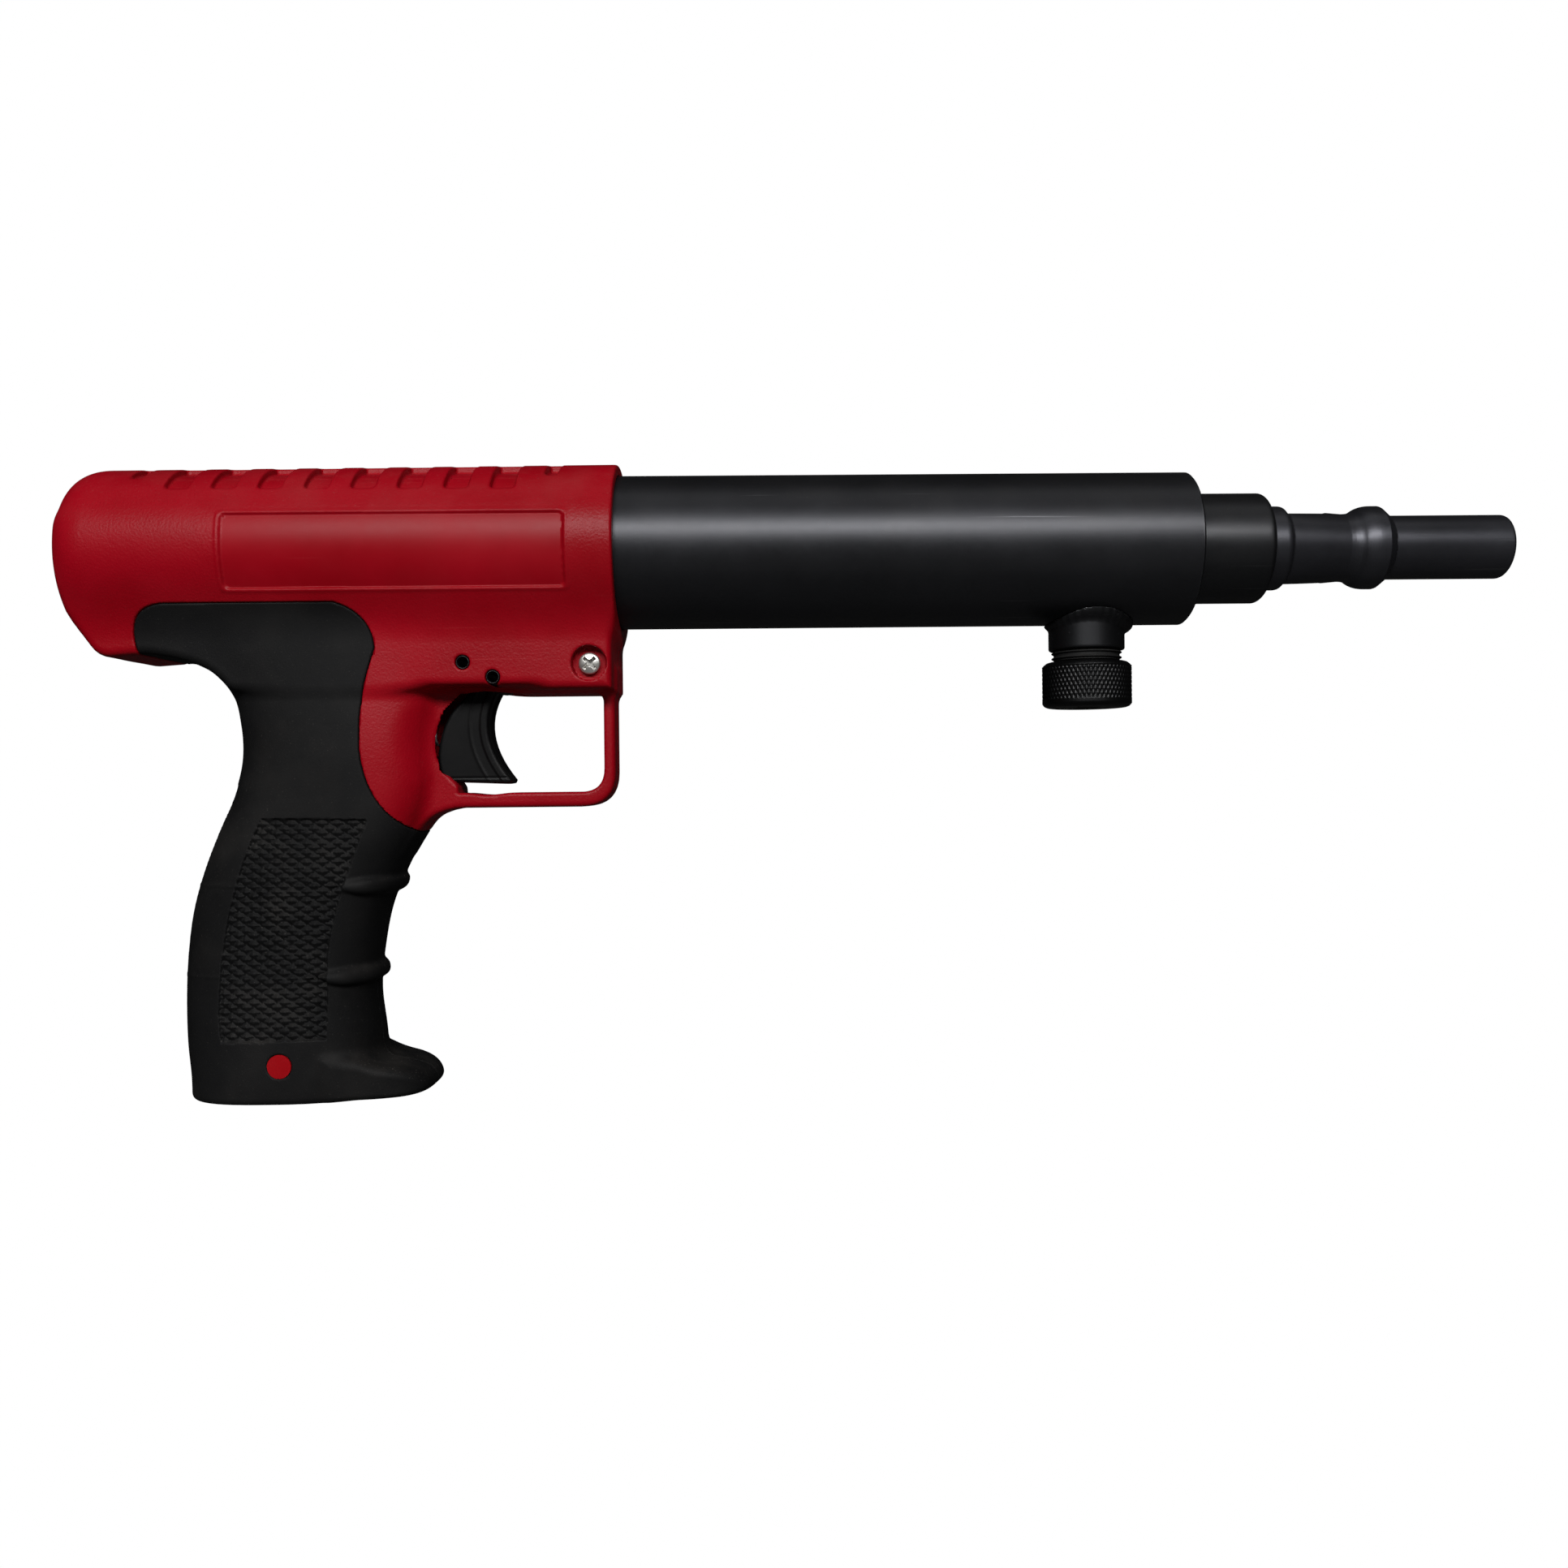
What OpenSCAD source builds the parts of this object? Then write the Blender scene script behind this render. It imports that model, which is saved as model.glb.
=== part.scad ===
// Powder-actuated nail gun with a silencer tube.
// The origin is the centre of the muzzle's mouth. +X leaves the muzzle along the bore, +Z is up,
// so the whole tool lies at negative X. All lengths are in millimetres.

/* [Muzzle] */
// Outer diameter of the nozzle
nozzle_d = 16; // [13:0.5:18]
// Bore that takes the nail and its charge cup
nozzle_bore_d = 10.2; // [7:0.1:11]
// Straight length of the nozzle
nozzle_len = 30.4; // [20:0.1:36]
// Diameter of the thin flange behind the nozzle
flange_d = 20.8; // [18.5:0.1:25]
// Diameter at the root of the tapered nose
nose_root_d = 19.8; // [17:0.1:23]
// Distance from the mouth to the collar's front face
nose_len = 61.9; // [52:0.1:75]
// Depth of the nail's seat behind the mouth
seat_depth = 46; // [35:1:48]

/* [Barrel] */
// Outer diameter of the sliding collar
collar_d = 27.5; // [24.5:0.1:29.5]
// Length of collar that shows in front of the tube
collar_show = 19.5; // [17:0.5:30]
// Outer diameter of the inner barrel
barrel_d = 21; // [18:0.5:21.5]
// Bore of the inner barrel
barrel_bore_d = 12.5; // [10:0.5:14]
// How far the nose is pushed in before the tool can fire
push_travel = 16; // [8:1:16]
// Diameter of the firing rod
rod_d = 7.8; // [5:0.1:8.4]

/* [Silencer tube] */
// Outer diameter of the silencer tube
tube_d = 38; // [38:0.5:46]
// Wall of the silencer tube
tube_wall = 2; // [1.2:0.1:2.2]
// Length of tube that shows in front of the housing
tube_show = 141.6; // [115:0.5:180]

/* [Relief knob] */
// Outer diameter of the knurled knob
knob_d = 22.3; // [20:0.1:28]
// Height of the knurled knob
knob_h = 11.4; // [9:0.1:15]
// Diameter of the boss's neck
neck_d = 18.8; // [17.5:0.1:20]
// Diameter of the relief plug
plug_d = 5.7; // [4:0.1:6.5]
// Travel of the relief plug over the knob's whole turn
plug_travel = 2.25; // [1:0.25:2.25]

/* [Housing] */
// Length of the moulded housing
housing_len = 133.6; // [125:0.1:160]
// Wall of the housing round the tube
housing_wall = 2.8; // [1.8:0.1:3.5]
// Width of the flat-sided block below the tube
block_w = 28; // [24:0.5:34]
// Height of the block below the tube
block_h = 17; // [15.5:0.5:21]
// Width of the trigger guard
guard_w = 11; // [8:0.5:16]
// Thickness of the trigger guard's bar
guard_t = 3.8; // [2.6:0.1:5]
// Clear height of the finger opening
finger_h = 24; // [22:0.5:30]

/* [Grip] */
// Length of the grip below the block
grip_len = 97.8; // [84:0.1:125]
// Width of the grip at its widest
grip_w = 34; // [30:0.5:42]
// Thickness of the soft cover
cover_t = 2; // [1.4:0.1:2.5]
// Wall of the hollow grip under the cover
grip_wall = 2.4; // [1.8:0.1:3.5]

/* [Trigger and pins] */
// Width of the trigger
trigger_w = 9; // [6:0.5:10]
// Diameter of the trigger and sear pins
pin_d = 3.4; // [2.5:0.1:4]
// Diameter of the striker
striker_d = 13; // [11:0.5:14]
// Travel of the striker
striker_travel = 12; // [6:1:12]
// Diameter of the housing screws
screw_d = 3; // [2.5:0.5:4]

/* [Clearances] */
// Radial clearance of parts that slide or turn
run_gap = 0.06; // [0.03:0.01:0.1]
// Gap between parts that must not touch
free_gap = 0.4; // [0.3:0.1:0.6]

/* [Hidden] */

red = [0.55, 0.02, 0.07];
soft_black = [0.10, 0.10, 0.10];
dark_steel = [0.15, 0.15, 0.16];
bright_steel = [0.62, 0.63, 0.64];
spring_steel = [0.45, 0.45, 0.47];
bronze = [0.60, 0.43, 0.22];
rubber_grey = [0.20, 0.20, 0.21];

$fn = 64;
eps = 0.01;
far = 400;

// Stations along the bore, from the mouth back
collar_x = -nose_len;
tube_x = collar_x - collar_show;
housing_x = tube_x - tube_show;
housing_end = housing_x - housing_len;
tube_r = tube_d / 2;
tube_bore_r = tube_r - tube_wall;
housing_r = tube_r + housing_wall;
tube_gap = 0.1;

// Inside the front of the tube
clip_w = 1.2;
clip_depth = 0.7;
bushing_x = tube_x - 0.6 - clip_w;
bushing_len = 13.6;
knob_x = tube_x - 24.4;
stop_x = knob_x - 6.7;
stop_w = 2;
collar_flange_t = 4.3;
collar_flange_x = stop_x - stop_w - 0.2;
collar_flange_r = tube_bore_r - free_gap / 2;
collar_end = collar_flange_x - collar_flange_t;
collar_r = collar_d / 2;
barrel_r = barrel_d / 2;

// Breech and striker, from the housing's front face back
cup_x = housing_x - 15;
barrel_end = cup_x - 7;
breech_x = barrel_end - push_travel - 1;
cup_end = housing_x - 49;
striker_r = striker_d / 2;
striker_tip_r = 1.5;
sleeve_r = striker_r + 2.4;
rear_cap_x = housing_end + 20.6;
rear_cap_t = 7;
tube_end = rear_cap_x - rear_cap_t - 1;
striker_x = cup_end - 4.5;
striker_end = striker_x - 41;
striker_bore_r = striker_r - 2;
striker_bore_len = 26;

// Trigger, sear and guard
block_z = -tube_r - block_h;
finger_z = block_z + 0.3 - finger_h;
trigger_x = housing_x - 29.8;
trigger_z = block_z + 4.1;
sear_x = trigger_x - 7.2;
sear_z = block_z + 7.7;
sear_tip_x = sear_x - 37;
sear_tip_z = -striker_r - free_gap;
sear_w = 6;
trigger_boss_r = pin_d / 2 + 1.7;
sear_boss_r = pin_d / 2 + 1.5;
pocket_w = trigger_w + 4 * free_gap;
front_screw_x = housing_x - 6.7;
front_screw_z = block_z + 7.3;

// Grip: height share, back and front measured from the housing's front face, width share
grip_base = block_z - grip_len;
grip_top = block_z + 18;
grip_sections = [
    [0.00, -113.0, -47, 0.80], [0.07, -106.5, -45, 0.83], [0.14, -98.6, -45, 0.86],
    [0.21, -94.2, -45.6, 0.90], [0.28, -93.5, -46.4, 0.93], [0.35, -95.9, -46, 0.94],
    [0.42, -99.5, -47.5, 0.95], [0.50, -102.8, -52.5, 0.965], [0.58, -105.4, -57.0, 0.975],
    [0.67, -107.0, -60.2, 0.985], [0.77, -107.7, -61.8, 0.99], [0.86, -107.6, -62.2, 1.0],
    [0.95, -107.1, -61.4, 1.0], [1.00, -106.8, -61.0, 0.95]
];
grip_screw_x = housing_x - 80.7;
grip_screw_z = grip_base + 9.4;
plug_r = 2.85;

// ---- Helpers -------------------------------------------------------------------------------

// Points [x, r] turned into a solid about the X axis.
module turned(outline) {
    rotate([0, 90, 0])
        rotate_extrude($fn = 96)
            polygon([for (p = outline) [p[1], p[0]]]);
}

// Solid cylinder along X between two stations.
module rod_x(x0, x1, r) {
    translate([min(x0, x1), 0, 0])
        rotate([0, 90, 0])
            cylinder(h = abs(x1 - x0), r = r, $fn = 96);
}

// Tube along X between two stations.
module pipe_x(x0, x1, r_out, r_in) {
    difference() {
        rod_x(x0, x1, r_out);
        rod_x(min(x0, x1) - 1, max(x0, x1) + 1, r_in);
    }
}

// Cylinder along Y through a point of the side view.
module rod_y(x, z, r, y0, y1) {
    translate([x, y1, z])
        rotate([90, 0, 0])
            cylinder(h = y1 - y0, r = r);
}

// Side-view outline [x, z] made w wide, centred on the middle plane.
module plate(w) {
    translate([0, w / 2, 0])
        rotate([90, 0, 0])
            linear_extrude(height = w)
                children();
}

// Keeps one side of the middle plane: side -1 is the right hand, side 1 the left.
module half(side) {
    intersection() {
        children();
        translate([-2 * far + 20, side > 0 ? 0 : -far, -far])
            cube([2 * far, far, 2 * far]);
    }
}

// Rounded rectangle from two corners, true arcs.
module round_rect(x0, z0, x1, z1, r) {
    translate([x0 + r, z0])
        square([x1 - x0 - 2 * r, z1 - z0]);
    translate([x0, z0 + r])
        square([x1 - x0, z1 - z0 - 2 * r]);
    for (x = [x0 + r, x1 - r], z = [z0 + r, z1 - r])
        translate([x, z])
            circle(r = r);
}

// Quadratic curve through a start and an end, pulled towards a middle point.
function bend(a, m, b, n = 8) =
    [for (i = [0:n]) let (t = i / n)
        (1 - t) * (1 - t) * a + 2 * t * (1 - t) * m + t * t * b];

// Coil spring along X as one swept tube.
module coil_x(x0, x1, mean_r, wire_d, turns) {
    steps = 12;
    sides = 6;
    n = steps * turns;
    x_lo = min(x0, x1) + wire_d / 2;
    x_hi = max(x0, x1) - wire_d / 2;
    pts = [for (i = [0:n], k = [0:sides - 1])
        let (a = 360 * i / steps, b = 360 * k / sides, r = mean_r + wire_d / 2 * cos(b))
        [x_lo + (x_hi - x_lo) * i / n + wire_d / 2 * sin(b), r * cos(a), r * sin(a)]];
    walls = [for (i = [0:n - 1], k = [0:sides - 1], t = [0, 1])
        let (m = (k + 1) % sides, p = i * sides, q = (i + 1) * sides)
        t == 0 ? [p + k, p + m, q + m] : [p + k, q + m, q + k]];
    polyhedron(
        points = pts,
        faces = concat([[for (k = [sides - 1:-1:0]) k]], walls, [[for (k = [0:sides - 1]) n * sides + k]]),
        convexity = 10);
}

// ---- Moulded form of the housing -----------------------------------------------------------

// One ring of the grip: a squared ellipse.
function grip_ring(s, inset) =
    let (
        n = 24,
        e = 2 / 3,
        z = grip_top + s[0] * (grip_base - 3 - grip_top),
        a = (s[2] - s[1]) / 2 - inset,
        b = s[3] * grip_w / 2 - inset,
        c = housing_x + (s[2] + s[1]) / 2)
    [for (i = [0:n - 1])
        let (t = 360 * (i + 0.5) / n, u = cos(t), v = sin(t))
        [c + a * sign(u) * pow(abs(u), e), b * sign(v) * pow(abs(v), e), z]];

// Skinned grip, each ring inset by the same amount.
module grip_form(inset) {
    n = 24;
    rings = [for (s = grip_sections) grip_ring(s, inset)];
    last = (len(rings) - 1) * n;
    difference() {
        polyhedron(
            points = [for (ring = rings, p = ring) p],
            faces = concat(
                [[for (i = [n - 1:-1:0]) i]],
                [for (j = [0:len(rings) - 2], i = [0:n - 1])
                    let (a = j * n + i, b = j * n + (i + 1) % n) [a, b, a + n]],
                [for (j = [0:len(rings) - 2], i = [0:n - 1])
                    let (a = j * n + i, b = j * n + (i + 1) % n) [b, b + n, a + n]],
                [[for (i = [0:n - 1]) last + i]]),
            convexity = 4);
        translate([-far, -far / 2, grip_base + inset - 20])
            cube([far, far, 20]);
    }
}

// Side view of the flat-sided block, from the tube's axis down to its underside.
module block_outline() {
    polygon(concat(
        [[housing_x, 0], [housing_x, block_z]],
        [[housing_x - 46, block_z], [housing_x - 100, block_z + 1]],
        bend([housing_x - 101, block_z + 3], [housing_x - 105, block_z + 9.6],
             [housing_x - 117, -tube_r - 6.3]),
        bend([housing_end + 9, -tube_r - 6.0], [housing_end + 3.5, -tube_r - 5.5],
             [housing_end + 2.5, -tube_r + 3]),
        [[housing_end + 2.5, 0]]));
}

// Side view of the trigger guard with its finger opening.
module guard_outline() {
    front = housing_x - 1;
    low = finger_z - guard_t;
    difference() {
        polygon(concat(
            [[front, block_z + 2], [front, low + 9]],
            bend([front, low + 9], [front, low], [front - 9, low]),
            bend([front - 38, low], [front - 47, low], [front - 53, low - 10.5]),
            [[front - 60, low - 10], [front - 60, block_z + 2]]));
        translate([front - 2.7, 0])
            polygon(concat(
                bend([-2.5, block_z + 0.3], [0, block_z + 0.3], [0, block_z - 2.2], 4),
                bend([0, finger_z + 6], [0, finger_z], [-6, finger_z]),
                [[-37, finger_z], [-37, block_z + 0.3]]));
    }
}

// Outside of the whole housing with its grip, inset from the moulded face.
module moulded(inset) {
    fillet = 4;
    r = housing_r - inset;
    turned(concat(
        [[housing_x - (inset > 0 ? 1 : 0), 0], [housing_x - (inset > 0 ? 1 : 0), r]],
        [for (a = [0:15:90]) [housing_end + inset + fillet * (1 - sin(a)), r - fillet * (1 - cos(a))]],
        [[housing_end + inset, 0]]));
    plate(block_w - 2 * inset)
        block_outline();
    grip_form(inset);
}

// Finger ridges and toe on the front of the grip.
module grip_ridges() {
    for (drop = [47.0, 68.6]) {
        z = block_z - drop;
        x = housing_x - (drop < 60 ? 54.2 : 58.9);
        plate(22)
            polygon([[x - 9, z + 6], [x - 2, z + 4.5], [x, z + 1.6], [x, z], [x - 1.2, z - 1.8], [x - 9, z - 4]]);
    }
    toe_x = housing_x - 47.2;
    plate(26)
        polygon(concat(
            [[toe_x - 17, grip_base + 15], [toe_x - 14, grip_base + 11.5]],
            bend([toe_x - 9.3, grip_base + 8.6], [toe_x, grip_base + 7.9], [toe_x, grip_base + 4]),
            bend([toe_x, grip_base + 4], [toe_x - 1, grip_base + 0.6], [toe_x - 8, grip_base]),
            [[toe_x - 20, grip_base], [toe_x - 20, grip_base + 15]]));
}

// Side view of the area that the soft cover takes.
module cover_area() {
    top = -tube_r + 4.6;
    polygon(concat(
        [[housing_x - 117, -far]],
        bend([housing_x - 117, top - 9], [housing_x - 117, top], [housing_x - 106, top]),
        bend([housing_x - 71, top], [housing_x - 60, top - 1], [housing_x - 58, top - 10]),
        bend([housing_x - 58, top - 11], [housing_x - 62, top - 20], [housing_x - 61.5, top - 30]),
        bend([housing_x - 61.5, top - 34], [housing_x - 60, top - 50], [housing_x - 48, top - 55.5]),
        [[housing_x - 30, top - 56], [housing_x - 30, -far]]));
}

// Soft cover of both sides together.
module cover_form() {
    difference() {
        intersection() {
            union() {
                plate(block_w)
                    block_outline();
                grip_form(0);
                grip_ridges();
            }
            plate(far)
                cover_area();
        }
        moulded(cover_t);
        rod_x(housing_x, housing_end, housing_r - cover_t);
    }
}

// Ventilation recesses over the top of the housing.
module top_recesses() {
    pitch = 11.07;
    floor_r = housing_r - 1.5;
    for (i = [0:9]) {
        end_slot = i == 0 || i == 9;
        w = end_slot ? 3 : 5.9;
        z = end_slot ? housing_r - 4.5 : housing_r - 8.2;
        x = housing_end + 18.6 + pitch * i;
        difference() {
            for (side = [-1, 1])
                translate([x - w / 2, side > 0 ? 3 : -3 - housing_r, z])
                    cube([w, housing_r, 20]);
            rod_x(housing_x, housing_end, floor_r);
        }
    }
}

// Shallow side panels that follow the round of the housing.
module side_panels() {
    difference() {
        plate(far)
            round_rect(housing_x - 91.8, -10.8, housing_x - 11.4, 6.3, 1);
        rod_x(housing_x + 1, housing_end - 1, housing_r - 0.6);
    }
}

// Room inside the housing for the tube, the trigger work and the hollow grip.
module housing_cavity() {
    rod_x(housing_x + 2, tube_end - 4, tube_r + tube_gap);
    plate(pocket_w) {
        translate([sear_tip_x - 6, block_z + 2.8])
            square([sear_x - sear_tip_x + 10, block_h]);
        polygon([
            [trigger_x + 5.2, block_z + 9], [trigger_x + 5.2, block_z - 4], [trigger_x, finger_z + 0.4],
            [trigger_x - 22, finger_z + 0.4], [trigger_x - 31, block_z - 10], [trigger_x - 31, block_z + 9]]);
    }
    difference() {
        intersection() {
            grip_form(cover_t + grip_wall);
            translate([-far, -far / 2, grip_base + cover_t + grip_wall])
                cube([far, far, grip_len - 32]);
        }
        rod_y(grip_screw_x, grip_screw_z, screw_d / 2 + 3, -far, far);
    }
}

// Holes that cross both housing shells for the pins and screws.
module housing_holes() {
    rod_y(trigger_x, trigger_z, pin_d / 2, -far, far);
    rod_y(sear_x, sear_z, pin_d / 2, -far, far);
    for (s = [[front_screw_x, front_screw_z, block_w / 2 - 3], [grip_screw_x, grip_screw_z, grip_w / 2 - 6]]) {
        rod_y(s[0], s[1], screw_d / 2 + 0.2, -far, far);
        for (side = [-1, 1])
            rod_y(s[0], s[1], screw_d / 2 + 2.75, side > 0 ? s[2] : -far, side > 0 ? far : -s[2]);
    }
}

module housing_both() {
    difference() {
        union() {
            difference() {
                moulded(0);
                intersection() {
                    plate(far)
                        cover_area();
                    translate([-far, -far / 2, -far - tube_r + 4.6])
                        cube([far, far, far]);
                }
            }
            moulded(cover_t);
            plate(guard_w)
                guard_outline();
        }
        housing_cavity();
        housing_holes();
        top_recesses();
        side_panels();
        rod_y(trigger_x - 3.1, finger_z + 12.2, 12.8, -far, far);
    }
}

module housing_right() {
    color(red)
        half(-1)
            housing_both();
}

module housing_left() {
    color(red)
        half(1)
            housing_both();
}

module grip_cover(side) {
    color(soft_black)
        half(side)
            difference() {
                cover_form();
                rod_y(grip_screw_x, grip_screw_z, plug_r, -far, far);
            }
}

// ---- Fasteners -----------------------------------------------------------------------------

// Pan-head screw along Y with a cross recess, head on the right side.
module cross_screw(x, z, head_y, tip_y) {
    difference() {
        union() {
            rod_y(x, z, screw_d / 2, head_y, tip_y);
            rod_y(x, z, screw_d / 2 + 1.2, head_y, head_y + 1.8);
        }
        for (turn = [0, 90])
            translate([x, head_y, z])
                rotate([0, turn + 45, 0])
                    translate([-1.6, -1, -0.35])
                        cube([3.2, 2, 0.7]);
    }
}

// Hexagon nut along Y.
module hex_nut(x, z, y0, y1) {
    translate([x, y1, z])
        rotate([90, 0, 0])
            difference() {
                cylinder(h = y1 - y0, r = screw_d / 2 + 1.6, $fn = 6);
                translate([0, 0, -1])
                    cylinder(h = y1 - y0 + 2, r = screw_d / 2 + 0.02);
            }
}

module front_screw() {
    color(bright_steel)
        cross_screw(front_screw_x, front_screw_z, -block_w / 2 + 1.2, block_w / 2 - 1);
}

module front_nut() {
    color(bright_steel)
        hex_nut(front_screw_x, front_screw_z, block_w / 2 - 3, block_w / 2 - 1);
}

module grip_screw() {
    color(bright_steel)
        cross_screw(grip_screw_x, grip_screw_z, -grip_w / 2 + 4.2, grip_w / 2 - 4);
}

module grip_nut() {
    color(bright_steel)
        hex_nut(grip_screw_x, grip_screw_z, grip_w / 2 - 6, grip_w / 2 - 4);
}

// Two push-in plugs that hide the grip screw and its nut.
module grip_plugs() {
    color(red)
        for (side = [-1, 1])
            rod_y(grip_screw_x, grip_screw_z, plug_r, side > 0 ? grip_w / 2 - 3 : -grip_w / 2 + 0.2,
                  side > 0 ? grip_w / 2 - 0.2 : -grip_w / 2 + 3);
}

module trigger_pin() {
    color(dark_steel)
        rod_y(trigger_x, trigger_z, pin_d / 2, -block_w / 2 + 0.3, block_w / 2 - 0.3);
}

module sear_pin() {
    color(dark_steel)
        rod_y(sear_x, sear_z, pin_d / 2, -block_w / 2 + 0.3, block_w / 2 - 0.3);
}

// ---- Fixed steel work ----------------------------------------------------------------------

module silencer_tube() {
    color(dark_steel)
        difference() {
            turned([
                [tube_x, tube_bore_r + 0.4], [tube_x, tube_r - 0.5], [tube_x - 0.5, tube_r],
                [tube_end, tube_r], [tube_end, tube_bore_r], [tube_x - 0.4, tube_bore_r]]);
            for (x = [tube_x - 0.6 - clip_w, stop_x - stop_w])
                pipe_x(x, x + (x < tube_x - 10 ? stop_w : clip_w), tube_bore_r + clip_depth, tube_bore_r - 1);
            translate([knob_x, 0, -tube_r - 2])
                cylinder(h = tube_wall + 4, r = plug_d / 2 + 0.6);
            translate([sear_tip_x - 8, -sear_w / 2 - 1, -tube_r - 2])
                cube([sear_x - 7 - sear_tip_x + 8, sear_w + 2, tube_wall + 8]);
        }
}

module front_bushing() {
    color(bronze)
        pipe_x(bushing_x - bushing_len, bushing_x, tube_bore_r, collar_r + run_gap);
}

// Snap ring seated in the tube's groove, open on one side.
module snap_ring(x, w, r_in) {
    difference() {
        pipe_x(x - w, x, tube_bore_r + clip_depth, r_in);
        translate([x - w - 1, -2, 0])
            cube([w + 2, 4, tube_r]);
    }
}

module bushing_clip() {
    color(spring_steel)
        snap_ring(tube_x - 0.6, clip_w, tube_bore_r - 1.8);
}

module stop_ring() {
    color(spring_steel)
        snap_ring(stop_x, stop_w, collar_r + free_gap);
}

// Perforated sleeve that breaks up the gas inside the silencer.
module muffler_sleeve() {
    sleeve_x0 = collar_end - push_travel - 5;
    sleeve_x1 = cup_x + 2;
    rows = 7;
    step = (sleeve_x0 - sleeve_x1) / (rows + 1);
    color(spring_steel)
        difference() {
            pipe_x(sleeve_x1, sleeve_x0, tube_bore_r, tube_bore_r - 1.4);
            for (row = [1:rows], turn = [0:60:120])
                translate([sleeve_x1 + step * row, 0, 0])
                    rotate([turn + (row % 2) * 30, 0, 0])
                        cylinder(h = 2 * tube_d, r = 2.2, center = true, $fn = 32);
        }
}

// Cup that guides the barrel's tail and carries the breech face.
module breech_cup() {
    color(dark_steel)
        difference() {
            rod_x(cup_x, cup_end, tube_bore_r - 0.02);
            rod_x(cup_x + 1, breech_x, barrel_r + run_gap);
            rod_x(cup_x, cup_end - 1, striker_tip_r + 0.1);
            rod_x(cup_end + 3, cup_end - 1, sleeve_r);
        }
}

module striker_sleeve() {
    color(dark_steel)
        difference() {
            pipe_x(rear_cap_x, cup_end + 3, sleeve_r, striker_r + run_gap);
            translate([sear_tip_x - 4.5, -sear_w / 2 - 0.5, -tube_r])
                cube([17, sear_w + 1, tube_r - 2]);
        }
}

module rear_cap() {
    spigot_r = 2.7;
    color(dark_steel)
        union() {
            rod_x(rear_cap_x - rear_cap_t, rear_cap_x, tube_bore_r - 0.02);
            rod_x(rear_cap_x - eps, striker_end + 2 - striker_travel - 2, spigot_r);
        }
}

module end_buffer() {
    color(rubber_grey)
        pipe_x(tube_end - 4, tube_end, tube_r - 0.5, tube_r - 8);
}

// ---- Relief knob ---------------------------------------------------------------------------

neck_z = -tube_r - 6.5;
seal_h = 3;
knob_z = neck_z - seal_h;
spigot_r = neck_d / 2 - 2.4;
spigot_z = knob_z - 4.8;
flat = plug_d / 2 - 0.5;

// Plug section: a round bar with two flats, which stop it from turning.
module plug_section(grow) {
    intersection() {
        circle(r = plug_d / 2 + grow);
        square([2 * (flat + grow), plug_d + 4], center = true);
    }
}

module port_boss() {
    color(dark_steel)
        difference() {
            translate([knob_x, 0, 0]) {
                translate([0, 0, neck_z])
                    cylinder(h = -neck_z - tube_r * 0.8, r = neck_d / 2);
                translate([0, 0, -tube_r - 1.6])
                    cylinder(h = 6, r1 = neck_d / 2, r2 = neck_d / 2 + 3);
                translate([0, 0, spigot_z])
                    cylinder(h = neck_z - spigot_z + eps, r = spigot_r);
            }
            rod_x(knob_x - 30, knob_x + 30, tube_r);
            translate([knob_x, 0, spigot_z - 1])
                linear_extrude(height = 30)
                    plug_section(run_gap + 0.04);
            translate([knob_x, 0, spigot_z + 1])
                difference() {
                    cylinder(h = 1.2, r = spigot_r + 1);
                    translate([0, 0, -1])
                        cylinder(h = 4, r = spigot_r - 0.7);
                }
        }
}

module knob_seal() {
    color(rubber_grey)
        translate([knob_x, 0, knob_z + 0.4])
            difference() {
                cylinder(h = seal_h - 0.4, r = neck_d / 2 - 0.6);
                translate([0, 0, -1])
                    cylinder(h = seal_h + 2, r = spigot_r);
            }
}

module knob_clip() {
    color(spring_steel)
        translate([knob_x, 0, spigot_z + 1])
            difference() {
                cylinder(h = 1.2, r = spigot_r + 0.9);
                translate([0, 0, -1])
                    cylinder(h = 4, r = spigot_r - 0.7);
                translate([-1.5, 0, -1])
                    cube([3, 20, 4]);
            }
}

module relief_knob() {
    flutes = 48;
    low = knob_z - knob_h;
    color(dark_steel)
        translate([knob_x, 0, 0])
            difference() {
                rotate_extrude($fn = 96)
                    polygon([
                        [0, low], [knob_d / 2 - 1, low], [knob_d / 2, low + 1],
                        [knob_d / 2, knob_z - 1], [knob_d / 2 - 1, knob_z], [0, knob_z]]);
                translate([0, 0, spigot_z - 0.3])
                    cylinder(h = 20, r = spigot_r + run_gap);
                translate([0, 0, spigot_z + 0.7])
                    cylinder(h = 1.8, r = spigot_r + 0.9 + free_gap);
                translate([0, 0, low - 1])
                    cylinder(h = 20, r = plug_d / 2 + run_gap + 0.04);
                for (i = [0:flutes - 1])
                    rotate([0, 0, 360 * i / flutes])
                        translate([knob_d / 2 + 0.25, 0, low - 1])
                            cylinder(h = knob_h + 2, r = 0.55, $fn = 16);
            }
}

module relief_plug() {
    color(bright_steel)
        translate([knob_x, 0, knob_z - knob_h + plug_travel + 0.3])
            linear_extrude(height = -tube_bore_r + 1.2 - (knob_z - knob_h + plug_travel + 0.3))
                plug_section(0);
}

// ---- Sliding nose --------------------------------------------------------------------------

thread_r = barrel_r - 2.1;
thread_len = 12;
rod_r = rod_d / 2;
rod_tip_r = min(1.9, nozzle_bore_d / 2 - 1.5);
rod_travel = 3;
rod_collar_x = collar_x - 46;

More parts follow.
